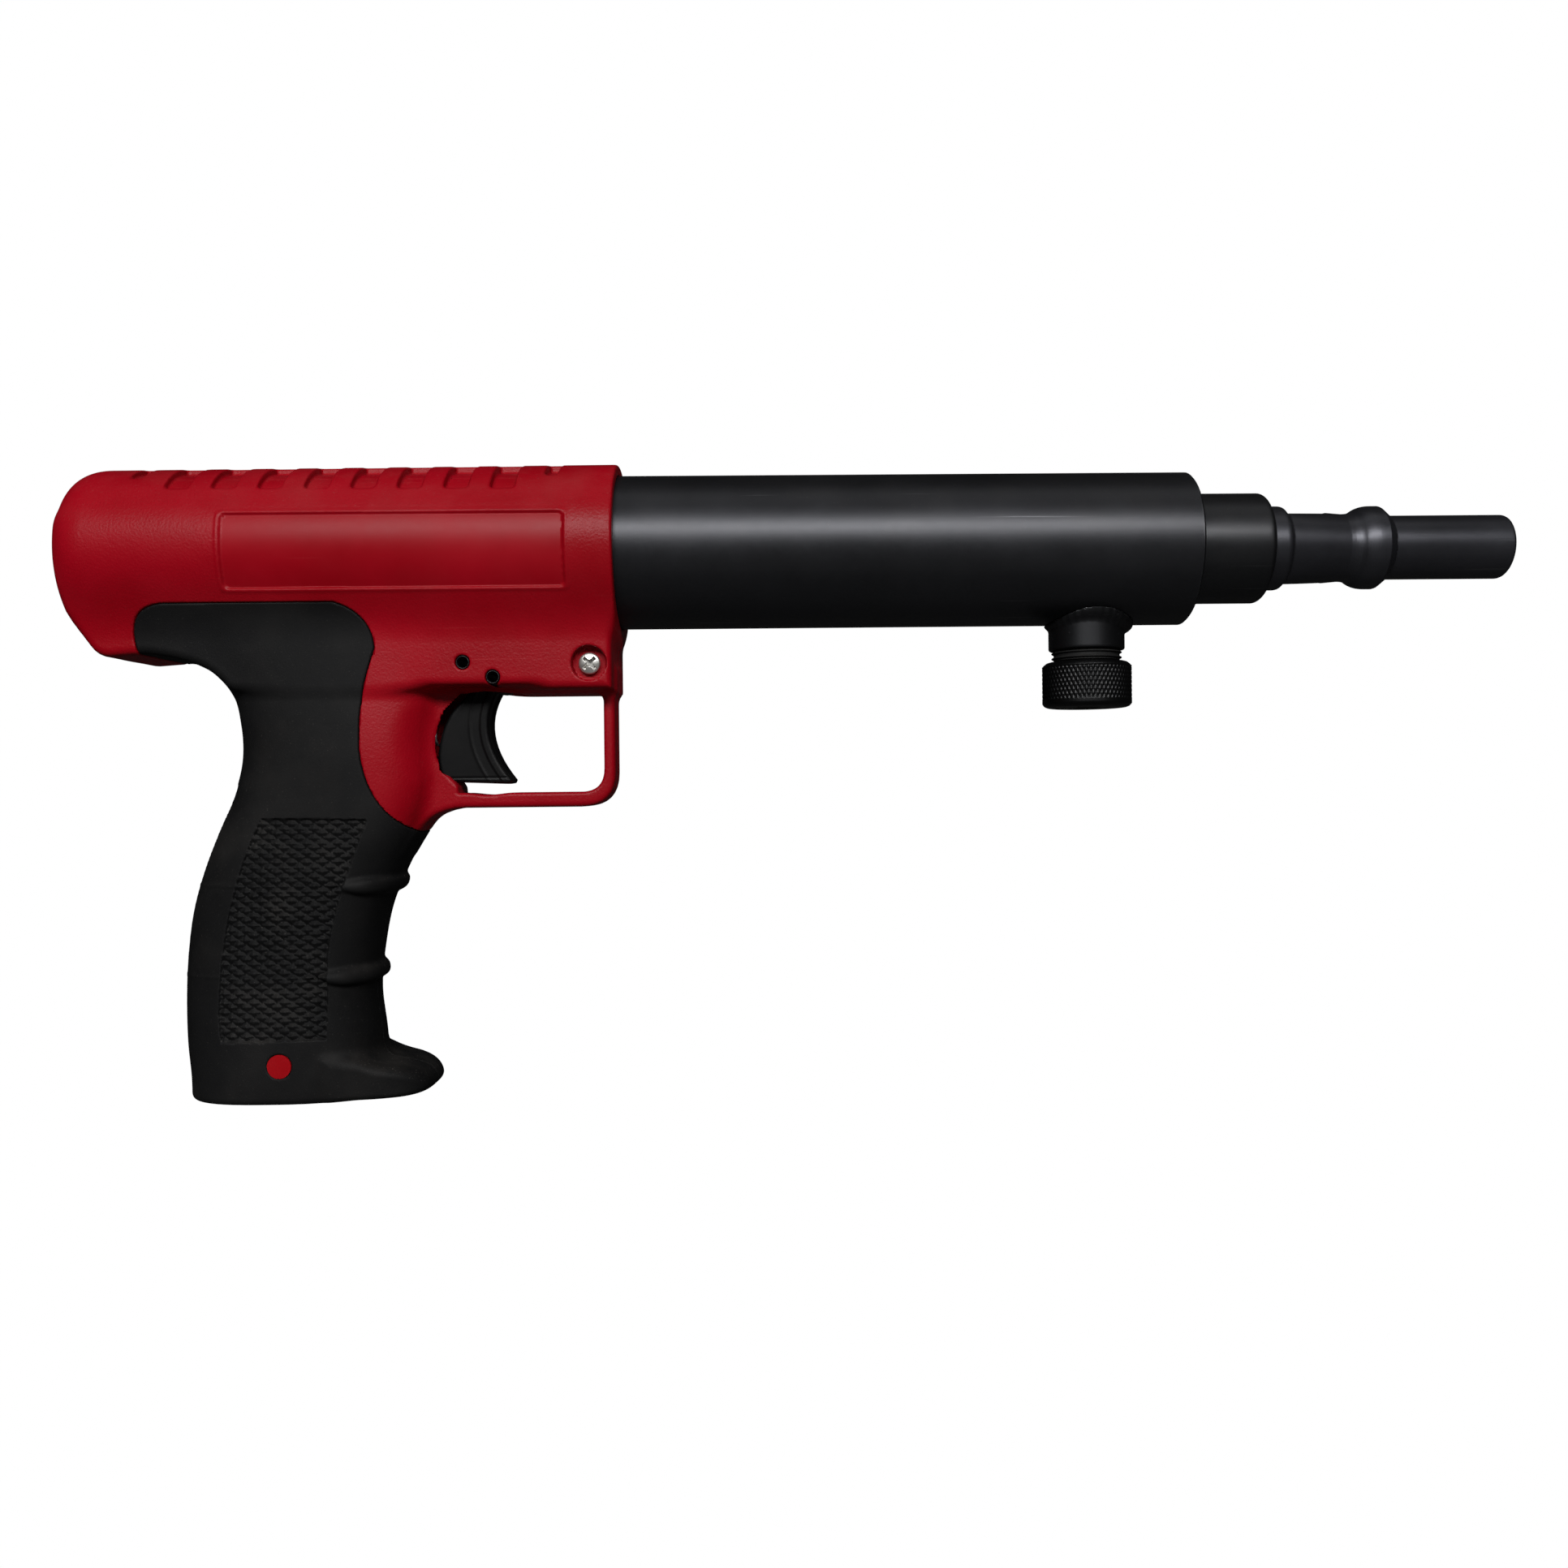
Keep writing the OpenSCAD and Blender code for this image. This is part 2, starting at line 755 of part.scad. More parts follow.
module muzzle_nozzle() {
    nr = nozzle_d / 2;
    fr = flange_d / 2;
    root = nose_root_d / 2;
    flange_x = -nozzle_len - 3.3;
    color(dark_steel)
        difference() {
            turned([
                [0, nr - 0.6], [-0.6, nr], [-nozzle_len, nr], [-nozzle_len, fr - 1.3],
                [flange_x, fr], [flange_x - 1.4, fr], [flange_x - 5.7, nr + 0.3],
                [-nose_len + 5.2, root], [-nose_len + 4.7, root + 0.6], [-nose_len, root + 0.6],
                [-nose_len, thread_r], [-nose_len - thread_len, thread_r],
                [-nose_len - thread_len, 0], [0, 0]]);
            rod_x(-seat_depth, 1, nozzle_bore_d / 2);
            rod_x(-nose_len - thread_len - 1, -seat_depth + 1, rod_tip_r + run_gap);
            rod_x(-nose_len - thread_len - 1, -nose_len + 4, rod_r + 0.3);
            for (side = [-1, 1])
                rotate([-76, 0, 0])
                    translate([-nose_len + 10.8 - 5.4, side > 0 ? nr + 0.6 : -nr - 0.6 - 10, -20])
                        cube([10.8, 10, 40]);
        }
}

module barrel_collar() {
    color(dark_steel)
        difference() {
            turned([
                [collar_x, barrel_r], [collar_x, collar_r - 0.5], [collar_x - 0.5, collar_r],
                [collar_flange_x, collar_r], [collar_flange_x, collar_flange_r],
                [collar_end, collar_flange_r], [collar_end, barrel_r]]);
            gas_ports();
        }
}

// Radial holes that let the spent gas out of the barrel into the silencer.
module gas_ports() {
    for (turn = [45, 135])
        translate([knob_x - 1.5, 0, 0])
            rotate([turn, 0, 0])
                cylinder(h = 2 * tube_d, r = 1.8, center = true, $fn = 32);
}

module inner_barrel() {
    color(dark_steel)
        difference() {
            rod_x(barrel_end, collar_x, barrel_r);
            rod_x(barrel_end - 1, collar_x + 1, barrel_bore_d / 2);
            rod_x(collar_x - thread_len - 0.2, collar_x + 1, thread_r + 0.02);
            gas_ports();
        }
}

module barrel_nut() {
    color(dark_steel)
        difference() {
            pipe_x(collar_end - 6, collar_end, barrel_r + 1.8, barrel_r);
            for (turn = [0, 90])
                rotate([turn, 0, 0])
                    translate([collar_end - 7, -1.5, -far / 2])
                        cube([3, 3, far]);
        }
}

module rod_guide_front() {
    color(bronze)
        pipe_x(collar_x - thread_len - 6, collar_x - thread_len - 0.2, barrel_bore_d / 2, rod_r + run_gap);
}

module rod_guide_rear() {
    color(bronze)
        pipe_x(barrel_end, barrel_end + 12, barrel_bore_d / 2, rod_r + run_gap);
}

module firing_rod() {
    color(bright_steel)
        turned([
            [-seat_depth - 1.2, 0], [-seat_depth - 1.2, rod_tip_r - 0.5],
            [-seat_depth - 1.7, rod_tip_r], [collar_x - 0.1, rod_tip_r],
            [collar_x - 0.1, rod_r], [rod_collar_x, rod_r],
            [rod_collar_x, barrel_bore_d / 2 - run_gap], [rod_collar_x - 4, barrel_bore_d / 2 - run_gap],
            [rod_collar_x - 4, rod_r], [barrel_end + 0.6, rod_r], [barrel_end + 0.6, 0]]);
}

module rod_spring() {
    wire = (barrel_bore_d - rod_d) / 2 - 1.2;
    color(spring_steel)
        coil_x(rod_collar_x + 0.05, collar_x - thread_len - 6.05, (barrel_bore_d / 2 + rod_r) / 2, wire, 6);
}

module nose_spring() {
    color(spring_steel)
        coil_x(cup_x + 0.05, collar_end - 0.05, barrel_r + 3.2, 1.6, 12);
}

// ---- Striker, sear and trigger -------------------------------------------------------------

module striker() {
    notch_x = sear_tip_x - 6;
    color(bright_steel)
        difference() {
            turned([
                [breech_x + 0.8, 0], [breech_x + 0.8, striker_tip_r - 0.5],
                [breech_x, striker_tip_r], [striker_x, striker_tip_r],
                [striker_x, striker_r - 1], [striker_x - 1, striker_r],
                [notch_x, striker_r], [notch_x, striker_r - 1.1], [notch_x - 4, striker_r - 1.1],
                [notch_x - 5.1, striker_r], [striker_end, striker_r], [striker_end, 0]]);
            rod_x(striker_end - 1, striker_end + striker_bore_len, striker_bore_r);
        }
}

module striker_spring() {
    color(spring_steel)
        coil_x(rear_cap_x + 0.05, striker_end + striker_bore_len - 0.05, striker_bore_r - 0.9, 1, 9);
}

module sear() {
    color(dark_steel)
        difference() {
            union() {
                plate(sear_w)
                    polygon([
                        [sear_x + 4, sear_z + 1.7], [sear_x + 4, sear_z - 1.3],
                        [sear_x, sear_z - sear_boss_r], [sear_x - 2.4, sear_z - 2.2],
                        [sear_tip_x - 2.6, sear_tip_z - 3], [sear_tip_x - 3, sear_tip_z],
                        [sear_tip_x + 3, sear_tip_z], [sear_x - 1, sear_z + 3]]);
                rod_y(sear_x, sear_z, sear_boss_r, -sear_w / 2, sear_w / 2);
            }
            rod_y(sear_x, sear_z, pin_d / 2 + run_gap, -far, far);
        }
}

module sear_spring() {
    x = sear_x - 24;
    low = block_z + 2.85;
    high = sear_z - 2.2 + (sear_tip_z - 0.8 - sear_z) * 20.4 / 37.2;
    color(spring_steel)
        translate([x, 0, 0])
            rotate([0, -90, 0])
                coil_x(low, high, 1.9, 0.7, 6);
}

module trigger() {
    top = [trigger_x - 0.6, trigger_z - 2.6];
    tip = [trigger_x + 2.6, finger_z + 3.1];
    heel = [trigger_x - 15.5, finger_z + 2.6];
    color(soft_black)
        difference() {
            union() {
                plate(trigger_w)
                    polygon(concat(
                        bend(top, [trigger_x - 6.7, (top[1] + tip[1]) / 2], tip),
                        [[tip[0] - 0.3, finger_z + 2.1], [tip[0] - 1.4, finger_z + 1.9], heel],
                        bend(heel, [trigger_x - 17.5, trigger_z - 12], [trigger_x - 9.5, trigger_z - 4.6]),
                        [[trigger_x - 3.9, trigger_z + 0.8], [trigger_x - 2, trigger_z + 1.2]]));
                rod_y(trigger_x, trigger_z, trigger_boss_r, -trigger_w / 2, trigger_w / 2);
            }
            rod_y(trigger_x, trigger_z, pin_d / 2 + run_gap, -far, far);
        }
}

module trigger_spring() {
    z = trigger_z - 14;
    color(spring_steel)
        translate([0, 0, z])
            coil_x(trigger_x - 15.5, trigger_x - 28, 2.1, 0.7, 6);
}

// ---- Nodes ---------------------------------------------------------------------------------

housing_right();
housing_left();
grip_cover(-1);  // grip_cover_right
grip_cover(1);  // grip_cover_left
grip_plugs();
grip_screw();
grip_nut();
front_screw();
front_nut();
silencer_tube();
front_bushing();
bushing_clip();
stop_ring();
muffler_sleeve();
breech_cup();
striker_sleeve();
rear_cap();
end_buffer();
port_boss();
knob_seal();
knob_clip();
relief_knob();
relief_plug();
muzzle_nozzle();
barrel_collar();
barrel_nut();
inner_barrel();
rod_guide_front();
rod_guide_rear();
firing_rod();
rod_spring();
nose_spring();
striker();
striker_spring();
sear();
sear_spring();
trigger();
trigger_spring();
trigger_pin();
sear_pin();
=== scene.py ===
"""Looks of a powder-actuated nail gun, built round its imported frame."""

import logging
import math
from collections.abc import Callable
from dataclasses import dataclass
from enum import Enum

import bpy
import numpy as np
from mathutils import Matrix, Vector


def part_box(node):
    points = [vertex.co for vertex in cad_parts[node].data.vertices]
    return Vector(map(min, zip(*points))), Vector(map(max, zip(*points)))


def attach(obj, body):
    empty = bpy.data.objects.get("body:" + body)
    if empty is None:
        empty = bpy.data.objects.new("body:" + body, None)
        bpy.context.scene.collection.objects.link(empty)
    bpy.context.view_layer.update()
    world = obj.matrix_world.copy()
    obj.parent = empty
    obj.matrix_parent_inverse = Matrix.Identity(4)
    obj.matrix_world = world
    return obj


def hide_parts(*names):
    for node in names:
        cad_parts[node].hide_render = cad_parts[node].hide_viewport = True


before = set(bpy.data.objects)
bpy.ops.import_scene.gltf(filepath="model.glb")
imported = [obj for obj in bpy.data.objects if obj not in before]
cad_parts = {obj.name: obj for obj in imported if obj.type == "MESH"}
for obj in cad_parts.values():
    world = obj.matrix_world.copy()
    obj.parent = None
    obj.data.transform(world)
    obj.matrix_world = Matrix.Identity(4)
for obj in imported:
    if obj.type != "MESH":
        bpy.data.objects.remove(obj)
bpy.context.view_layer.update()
LOG = logging.getLogger("nail_gun")
MM = 0.001
MARGIN = 0.8
Nums = np.ndarray
Socket = bpy.types.NodeSocket
Value = Socket | float | tuple


# ---- Fields: signed distances in millimetres, negative inside --------------------------------


def join(a: Nums, b: Nums, k: float) -> Nums:
    """Union of two fields with a fillet.

    Args:
        a, b: the fields' values.
        k: width of the blend, in millimetres.

    Returns:
        The values of the joined field.
    """
    h = np.clip(0.5 + 0.5 * (b - a) / k, 0.0, 1.0)
    return b + (a - b) * h - k * h * (1.0 - h)


def meet(a: Nums, b: Nums, k: float) -> Nums:
    """Intersection of two fields with a rounded edge.

    Args:
        a, b: the fields' values.
        k: width of the rounding, in millimetres.

    Returns:
        The values of the common field.
    """
    return -join(-a, -b, k)


def cut(a: Nums, b: Nums, k: float) -> Nums:
    """Field a without field b, its new edge rounded.

    Args:
        a, b: the fields' values.
        k: width of the rounding, in millimetres.

    Returns:
        The values of the cut field.
    """
    return -join(-a, b, k)


def ramp(low: Nums | float, high: Nums | float, v: Nums) -> Nums:
    """Smooth step from 0 at low to 1 at high.

    Args:
        low, high: the ends of the step.
        v: the values.

    Returns:
        The stepped values.
    """
    t = np.clip((v - low) / (high - low), 0.0, 1.0)
    return t * t * (3.0 - 2.0 * t)


def saw(v: Nums) -> Nums:
    """Triangle wave with period 1, 0 at whole numbers and 1 half way.

    Args:
        v: the phase.

    Returns:
        The wave's height.
    """
    return 1.0 - np.abs(2.0 * (v - np.floor(v)) - 1.0)


def bend(a: tuple, m: tuple, b: tuple, n: int = 8) -> list:
    """Quadratic curve from a to b, pulled towards m.

    Args:
        a, m, b: the points.
        n: number of steps.

    Returns:
        The curve's points.
    """
    ts = [i / n for i in range(n + 1)]
    weights = [((1 - t) ** 2, 2 * t * (1 - t), t * t) for t in ts]
    return [tuple(u * p + v * q + w * r for p, q, r in zip(a, m, b)) for u, v, w in weights]


class Outline:
    """Signed distance of a closed side view, sampled on a fine grid."""

    def __init__(self, points: list, step: float = 0.3, pad: float = 8.0) -> None:
        """Samples the outline.

        Args:
            points: corners (x, z) in millimetres.
            step: pitch of the samples.
            pad: how far outside the outline the samples reach.
        """
        pts = np.array(points, float)
        self.step = step
        self.low = pts.min(0) - pad
        size = np.ceil((pts.max(0) + pad - self.low) / step).astype(int) + 1
        x = self.low[0] + step * np.arange(size[0])[:, None]
        z = self.low[1] + step * np.arange(size[1])[None, :]
        best = np.full((size[0], size[1]), 1e9)
        inside = np.zeros(best.shape, bool)
        for (x0, z0), (x1, z1) in zip(pts, np.roll(pts, -1, 0)):
            dx, dz = x1 - x0, z1 - z0
            if dx * dx + dz * dz < 1e-12:
                continue
            t = np.clip(((x - x0) * dx + (z - z0) * dz) / (dx * dx + dz * dz), 0, 1)
            best = np.minimum(best, (x - x0 - t * dx) ** 2 + (z - z0 - t * dz) ** 2)
            if z0 != z1:
                inside ^= ((z0 <= z) != (z1 <= z)) & (x < x0 + (z - z0) * dx / dz)
        self.values = np.where(inside, -np.sqrt(best), np.sqrt(best))

    def __call__(self, x: Nums, z: Nums) -> Nums:
        """Distance at some points.

        Args:
            x, z: the points' coordinates.

        Returns:
            Signed distances.
        """
        u = np.clip((x - self.low[0]) / self.step, 0, self.values.shape[0] - 1.001)
        v = np.clip((z - self.low[1]) / self.step, 0, self.values.shape[1] - 1.001)
        i, j = np.floor(u).astype(int), np.floor(v).astype(int)
        u, v = u - i, v - j
        t = self.values
        near = t[i, j] * (1 - u) + t[i + 1, j] * u
        far = t[i, j + 1] * (1 - u) + t[i + 1, j + 1] * u
        return near * (1 - v) + far * v


class Skin:
    """Turns a field into a smooth mesh of quads."""

    @staticmethod
    def slopes(shape: Callable, p: Nums, h: float = 0.05) -> Nums:
        """Slope of the field at some points.

        Args:
            shape: the field.
            p: points, one per row.
            h: distance between the samples.

        Returns:
            One slope per row.
        """
        out = np.empty_like(p)
        for k in range(3):
            d = np.zeros(3)
            d[k] = h
            out[:, k] = (shape(*(p + d).T) - shape(*(p - d).T)) / (2 * h)
        return out

    @classmethod
    def mesh(cls, shape: Callable, low: tuple, high: tuple, pitch: float) -> tuple:
        """Meshes a field inside a box.

        Args:
            shape: the field, a function of x, y and z in millimetres.
            low, high: the box's corners.
            pitch: size of the quads.

        Returns:
            Points, quads and normals.
        """
        grid = [np.arange(a, b + pitch, pitch) for a, b in zip(low, high)]
        sizes = tuple(len(g) for g in grid)
        v = np.broadcast_to(
            shape(grid[0][:, None, None], grid[1][None, :, None], grid[2][None, None, :]), sizes
        )
        cells = tuple(n - 1 for n in sizes)
        total, count = np.zeros((3, int(np.prod(cells)))), np.zeros(int(np.prod(cells)))
        quads = []
        for a in range(3):
            b, c = (a + 1) % 3, (a + 2) % 3
            first, second = [slice(None)] * 3, [slice(None)] * 3
            first[a], second[a] = slice(0, -1), slice(1, None)
            v0, v1 = v[tuple(first)], v[tuple(second)]
            at = np.argwhere((v0 < 0) != (v1 < 0))
            keep = (at[:, b] > 0) & (at[:, c] > 0) & (at[:, b] < cells[b]) & (at[:, c] < cells[c])
            at = at[keep]
            low_v, high_v = v0[tuple(at.T)], v1[tuple(at.T)]
            pos = at.astype(float)
            pos[:, a] += low_v / (low_v - high_v)
            ring = []
            for db, dc in ((0, 0), (1, 0), (1, 1), (0, 1)):
                cell = at.copy()
                cell[:, b] -= db
                cell[:, c] -= dc
                flat = np.ravel_multi_index(tuple(cell.T), cells)
                ring.append(flat)
                count += np.bincount(flat, minlength=len(count))
                for k in range(3):
                    total[k] += np.bincount(flat, weights=pos[:, k], minlength=len(count))
            quad = np.stack(ring, 1)
            back = low_v > 0
            quad[back] = quad[back][:, ::-1]
            quads.append(quad)
        used = count > 0
        index = np.cumsum(used) - 1
        p = (total[:, used] / count[used]).T * pitch + np.array(low, float)
        for _ in range(3):
            g = cls.slopes(shape, p)
            move = g * (shape(*p.T) / np.maximum((g * g).sum(1), 0.2))[:, None]
            size = np.linalg.norm(move, axis=1, keepdims=True)
            p = p - move * np.minimum(1.0, 0.4 * pitch / np.maximum(size, 1e-9))
        normals = cls.slopes(shape, p)
        normals /= np.maximum(np.linalg.norm(normals, axis=1, keepdims=True), 1e-9)
        return p, index[np.concatenate(quads)], normals


def put(name: str, points: Nums, quads: Nums, normals: Nums | None = None) -> bpy.types.Object:
    """Makes a smooth-shaded object from points in millimetres.

    Args:
        name: the object's name.
        points, quads: the mesh.
        normals: one direction per point, or None.

    Returns:
        The object.
    """
    mesh = bpy.data.meshes.new(name)
    mesh.vertices.add(len(points))
    mesh.vertices.foreach_set("co", (np.asarray(points) * MM).astype(np.float32).ravel())
    mesh.loops.add(quads.size)
    mesh.loops.foreach_set("vertex_index", quads.astype(np.int32).ravel())
    mesh.polygons.add(len(quads))
    mesh.polygons.foreach_set("loop_start", np.arange(0, quads.size, quads.shape[1], dtype=np.int32))
    mesh.update(calc_edges=True)
    mesh.polygons.foreach_set("use_smooth", np.ones(len(quads), bool))
    if normals is not None:
        mesh.normals_split_custom_set_from_vertices([tuple(n) for n in normals.tolist()])
    made = bpy.data.objects.new(name, mesh)
    bpy.context.scene.collection.objects.link(made)
    return made


def turned(outline: list, sides: int = 128, wave: Callable | None = None) -> tuple:
    """Turns an outline about the third axis.

    Args:
        outline: points (radius, station), in millimetres.
        sides: steps round the axis.
        wave: extra radius as a function of angle and station, or None.

    Returns:
        Points (a, b, station) and quads.
    """
    r, s = np.array(outline, float).T
    angle = 2 * math.pi * np.arange(sides) / sides
    radius = np.repeat(r[:, None], sides, 1)
    if wave is not None:
        radius = radius + wave(angle[None, :], s[:, None])
    stations = np.repeat(s[:, None], sides, 1)
    points = np.stack([radius * np.cos(angle), radius * np.sin(angle), stations], -1)
    i, k = np.meshgrid(np.arange(len(r) - 1), np.arange(sides), indexing="ij")
    m = (k + 1) % sides
    quads = np.stack([i * sides + k, i * sides + m, (i + 1) * sides + m, (i + 1) * sides + k], -1)
    return points.reshape(-1, 3), quads.reshape(-1, 4)


@dataclass(frozen=True)
class NodeBox:
    """A CAD node's box in millimetres."""

    low: tuple
    high: tuple

    @classmethod
    def of(cls, node: str) -> "NodeBox":
        """Reads the box of a node.

        Args:
            node: the CAD node's name.

        Returns:
            Its box.
        """
        low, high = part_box(node)
        return cls(tuple(v / MM for v in low), tuple(v / MM for v in high))

    @property
    def centre(self) -> tuple:
        """Centre in the side view: x and z."""
        return (self.low[0] + self.high[0]) / 2, (self.low[2] + self.high[2]) / 2

    def grown(self, by: float) -> tuple:
        """Corners of the box with a margin.

        Args:
            by: the margin.

        Returns:
            The low and the high corner.
        """
        return tuple(v - by for v in self.low), tuple(v + by for v in self.high)


# ---- Finishes --------------------------------------------------------------------------------


class Base(Enum):
    """What a finish is made of."""

    PLASTIC = "plastic"
    STEEL = "steel"
    SOFT = "soft"


@dataclass(frozen=True)
class Recipe:
    """Numbers that all the finishes share, lengths in metres."""

    patch: float = 0.03
    worn_edge: float = 0.0006
    dust: tuple = (0.30, 0.27, 0.24)
    dust_rough: float = 0.4
    scratch_colour: float = 0.7
    scratch_deep: float = 0.25
    bump: float = 0.55
    bump_deep: float = 0.00016
    metallic: float = 0.85
    ior: float = 1.45
    soft_ior: float = 1.40
    steel_shine: float = 0.5
    plastic_shine: float = 0.18
    coat: float = 0.25
    coat_rough: float = 0.32
    panel_grain: float = 0.08


@dataclass(frozen=True)
class Finish:
    """One finish of the tool.

    Fields: base, two colours that patches mix, roughness, patch size in metres, grain size and
    height, turned-line height, scratch strength, edge wear and its colour, dust.
    """

    base: Base
    dark: tuple
    light: tuple
    rough: float
    rough_swing: float = 0.08
    grain_mm: float = 0.5
    grain: float = 0.0
    turned: float = 0.0
    scratch: float = 0.2
    wear: float = 0.3
    wear_colour: tuple = (0.35, 0.35, 0.36)
    dust: float = 0.1
    smooth_panel: bool = False


RED = ((0.262, 0.0004, 0.0050), (0.325, 0.0010, 0.0082))
FINISHES = {
    "red_nylon": Finish(
        Base.PLASTIC, *RED,
        0.37, 0.07, 0.55, 0.55, 0.0, 0.35, 0.22, (0.42, 0.03, 0.035), 0.14, True,
    ),
    "soft_cover": Finish(
        Base.SOFT, (0.0050, 0.0050, 0.0052), (0.0085, 0.0085, 0.0088),
        0.62, 0.06, 0.42, 0.30, 0.0, 0.12, 0.12, (0.03, 0.03, 0.03), 0.22,
    ),
    "red_plug": Finish(
        Base.PLASTIC, (0.30, 0.001, 0.004), (0.36, 0.002, 0.006),
        0.42, 0.06, 0.5, 0.2, 0.0, 0.2, 0.1, (0.4, 0.03, 0.03), 0.12,
    ),
    "zinc_steel": Finish(
        Base.STEEL, (0.46, 0.45, 0.42), (0.62, 0.61, 0.58),
        0.30, 0.1, 0.3, 0.12, 0.0, 0.3, 0.3, (0.8, 0.8, 0.78), 0.25,
    ),
    "blued_tube": Finish(
        Base.STEEL, (0.0215, 0.0220, 0.0250), (0.0300, 0.0305, 0.0345),
        0.38, 0.07, 0.25, 0.05, 0.10, 0.55, 0.55, (0.16, 0.16, 0.17), 0.10,
    ),
    "blued_nose": Finish(
        Base.STEEL, (0.0400, 0.0405, 0.0475), (0.0560, 0.0570, 0.0660),
        0.38, 0.07, 0.3, 0.05, 0.16, 0.40, 0.50, (0.20, 0.20, 0.21), 0.10,
    ),
    "blued_collar": Finish(
        Base.STEEL, (0.0195, 0.0200, 0.0220), (0.0270, 0.0275, 0.0300),
        0.38, 0.07, 0.3, 0.05, 0.14, 0.40, 0.45, (0.18, 0.18, 0.19), 0.10,
    ),
    "blued_steel": Finish(
        Base.STEEL, (0.0130, 0.0135, 0.0150), (0.0185, 0.0190, 0.0210),
        0.40, 0.08, 0.3, 0.10, 0.0, 0.30, 0.35, (0.16, 0.16, 0.17), 0.12,
    ),
    "knurled_steel": Finish(
        Base.STEEL, (0.0048, 0.0050, 0.0055), (0.0072, 0.0074, 0.0080),
        0.46, 0.08, 0.3, 0.05, 0.0, 0.20, 0.22, (0.07, 0.07, 0.075), 0.10,
    ),
    "pin_steel": Finish(
        Base.STEEL, (0.010, 0.010, 0.011), (0.016, 0.016, 0.017),
        0.45, 0.08, 0.3, 0.08, 0.0, 0.2, 0.3, (0.15, 0.15, 0.15), 0.15,
    ),
    "bare_steel": Finish(
        Base.STEEL, (0.40, 0.40, 0.39), (0.52, 0.52, 0.51),
        0.30, 0.08, 0.3, 0.05, 0.15, 0.4, 0.2, (0.7, 0.7, 0.7), 0.05,
    ),
    "spring_steel": Finish(
        Base.STEEL, (0.22, 0.22, 0.23), (0.32, 0.32, 0.33),
        0.34, 0.08, 0.3, 0.08, 0.0, 0.2, 0.2, (0.6, 0.6, 0.6), 0.05,
    ),
    "bronze": Finish(
        Base.STEEL, (0.42, 0.25, 0.10), (0.52, 0.32, 0.14),
        0.34, 0.08, 0.3, 0.05, 0.12, 0.3, 0.2, (0.8, 0.6, 0.35), 0.05,
    ),
    "buffer_rubber": Finish(
        Base.SOFT, (0.020, 0.020, 0.020), (0.030, 0.030, 0.030),
        0.72, 0.05, 0.5, 0.3, 0.0, 0.1, 0.1, (0.05, 0.05, 0.05), 0.2,
    ),
    "seal_rubber": Finish(
        Base.SOFT, (0.010, 0.010, 0.010), (0.016, 0.016, 0.016),
        0.55, 0.05, 0.4, 0.1, 0.0, 0.1, 0.1, (0.05, 0.05, 0.05), 0.2,
    ),
    "trigger_nylon": Finish(
        Base.PLASTIC, (0.0020, 0.0020, 0.0022), (0.0032, 0.0032, 0.0035),
        0.42, 0.06, 0.6, 0.06, 0.0, 0.3, 0.25, (0.020, 0.020, 0.022), 0.12,
    ),
}
SLOT_NODES = {
    "red_plug": ("grip_plugs",),
    "zinc_steel": ("grip_screw", "grip_nut", "front_screw", "front_nut"),
    "blued_tube": ("silencer_tube",),
    "seal_rubber": ("knob_seal",),
    "buffer_rubber": ("end_buffer",),
    "bronze": ("front_bushing", "rod_guide_front", "rod_guide_rear"),
    "bare_steel": ("muffler_sleeve", "relief_plug", "firing_rod", "striker"),
    "spring_steel": ("bushing_clip", "stop_ring", "knob_clip", "rod_spring", "nose_spring",
                     "striker_spring", "sear_spring", "trigger_spring"),
    "blued_steel": ("breech_cup", "striker_sleeve", "rear_cap", "barrel_nut", "inner_barrel", "sear"),
}


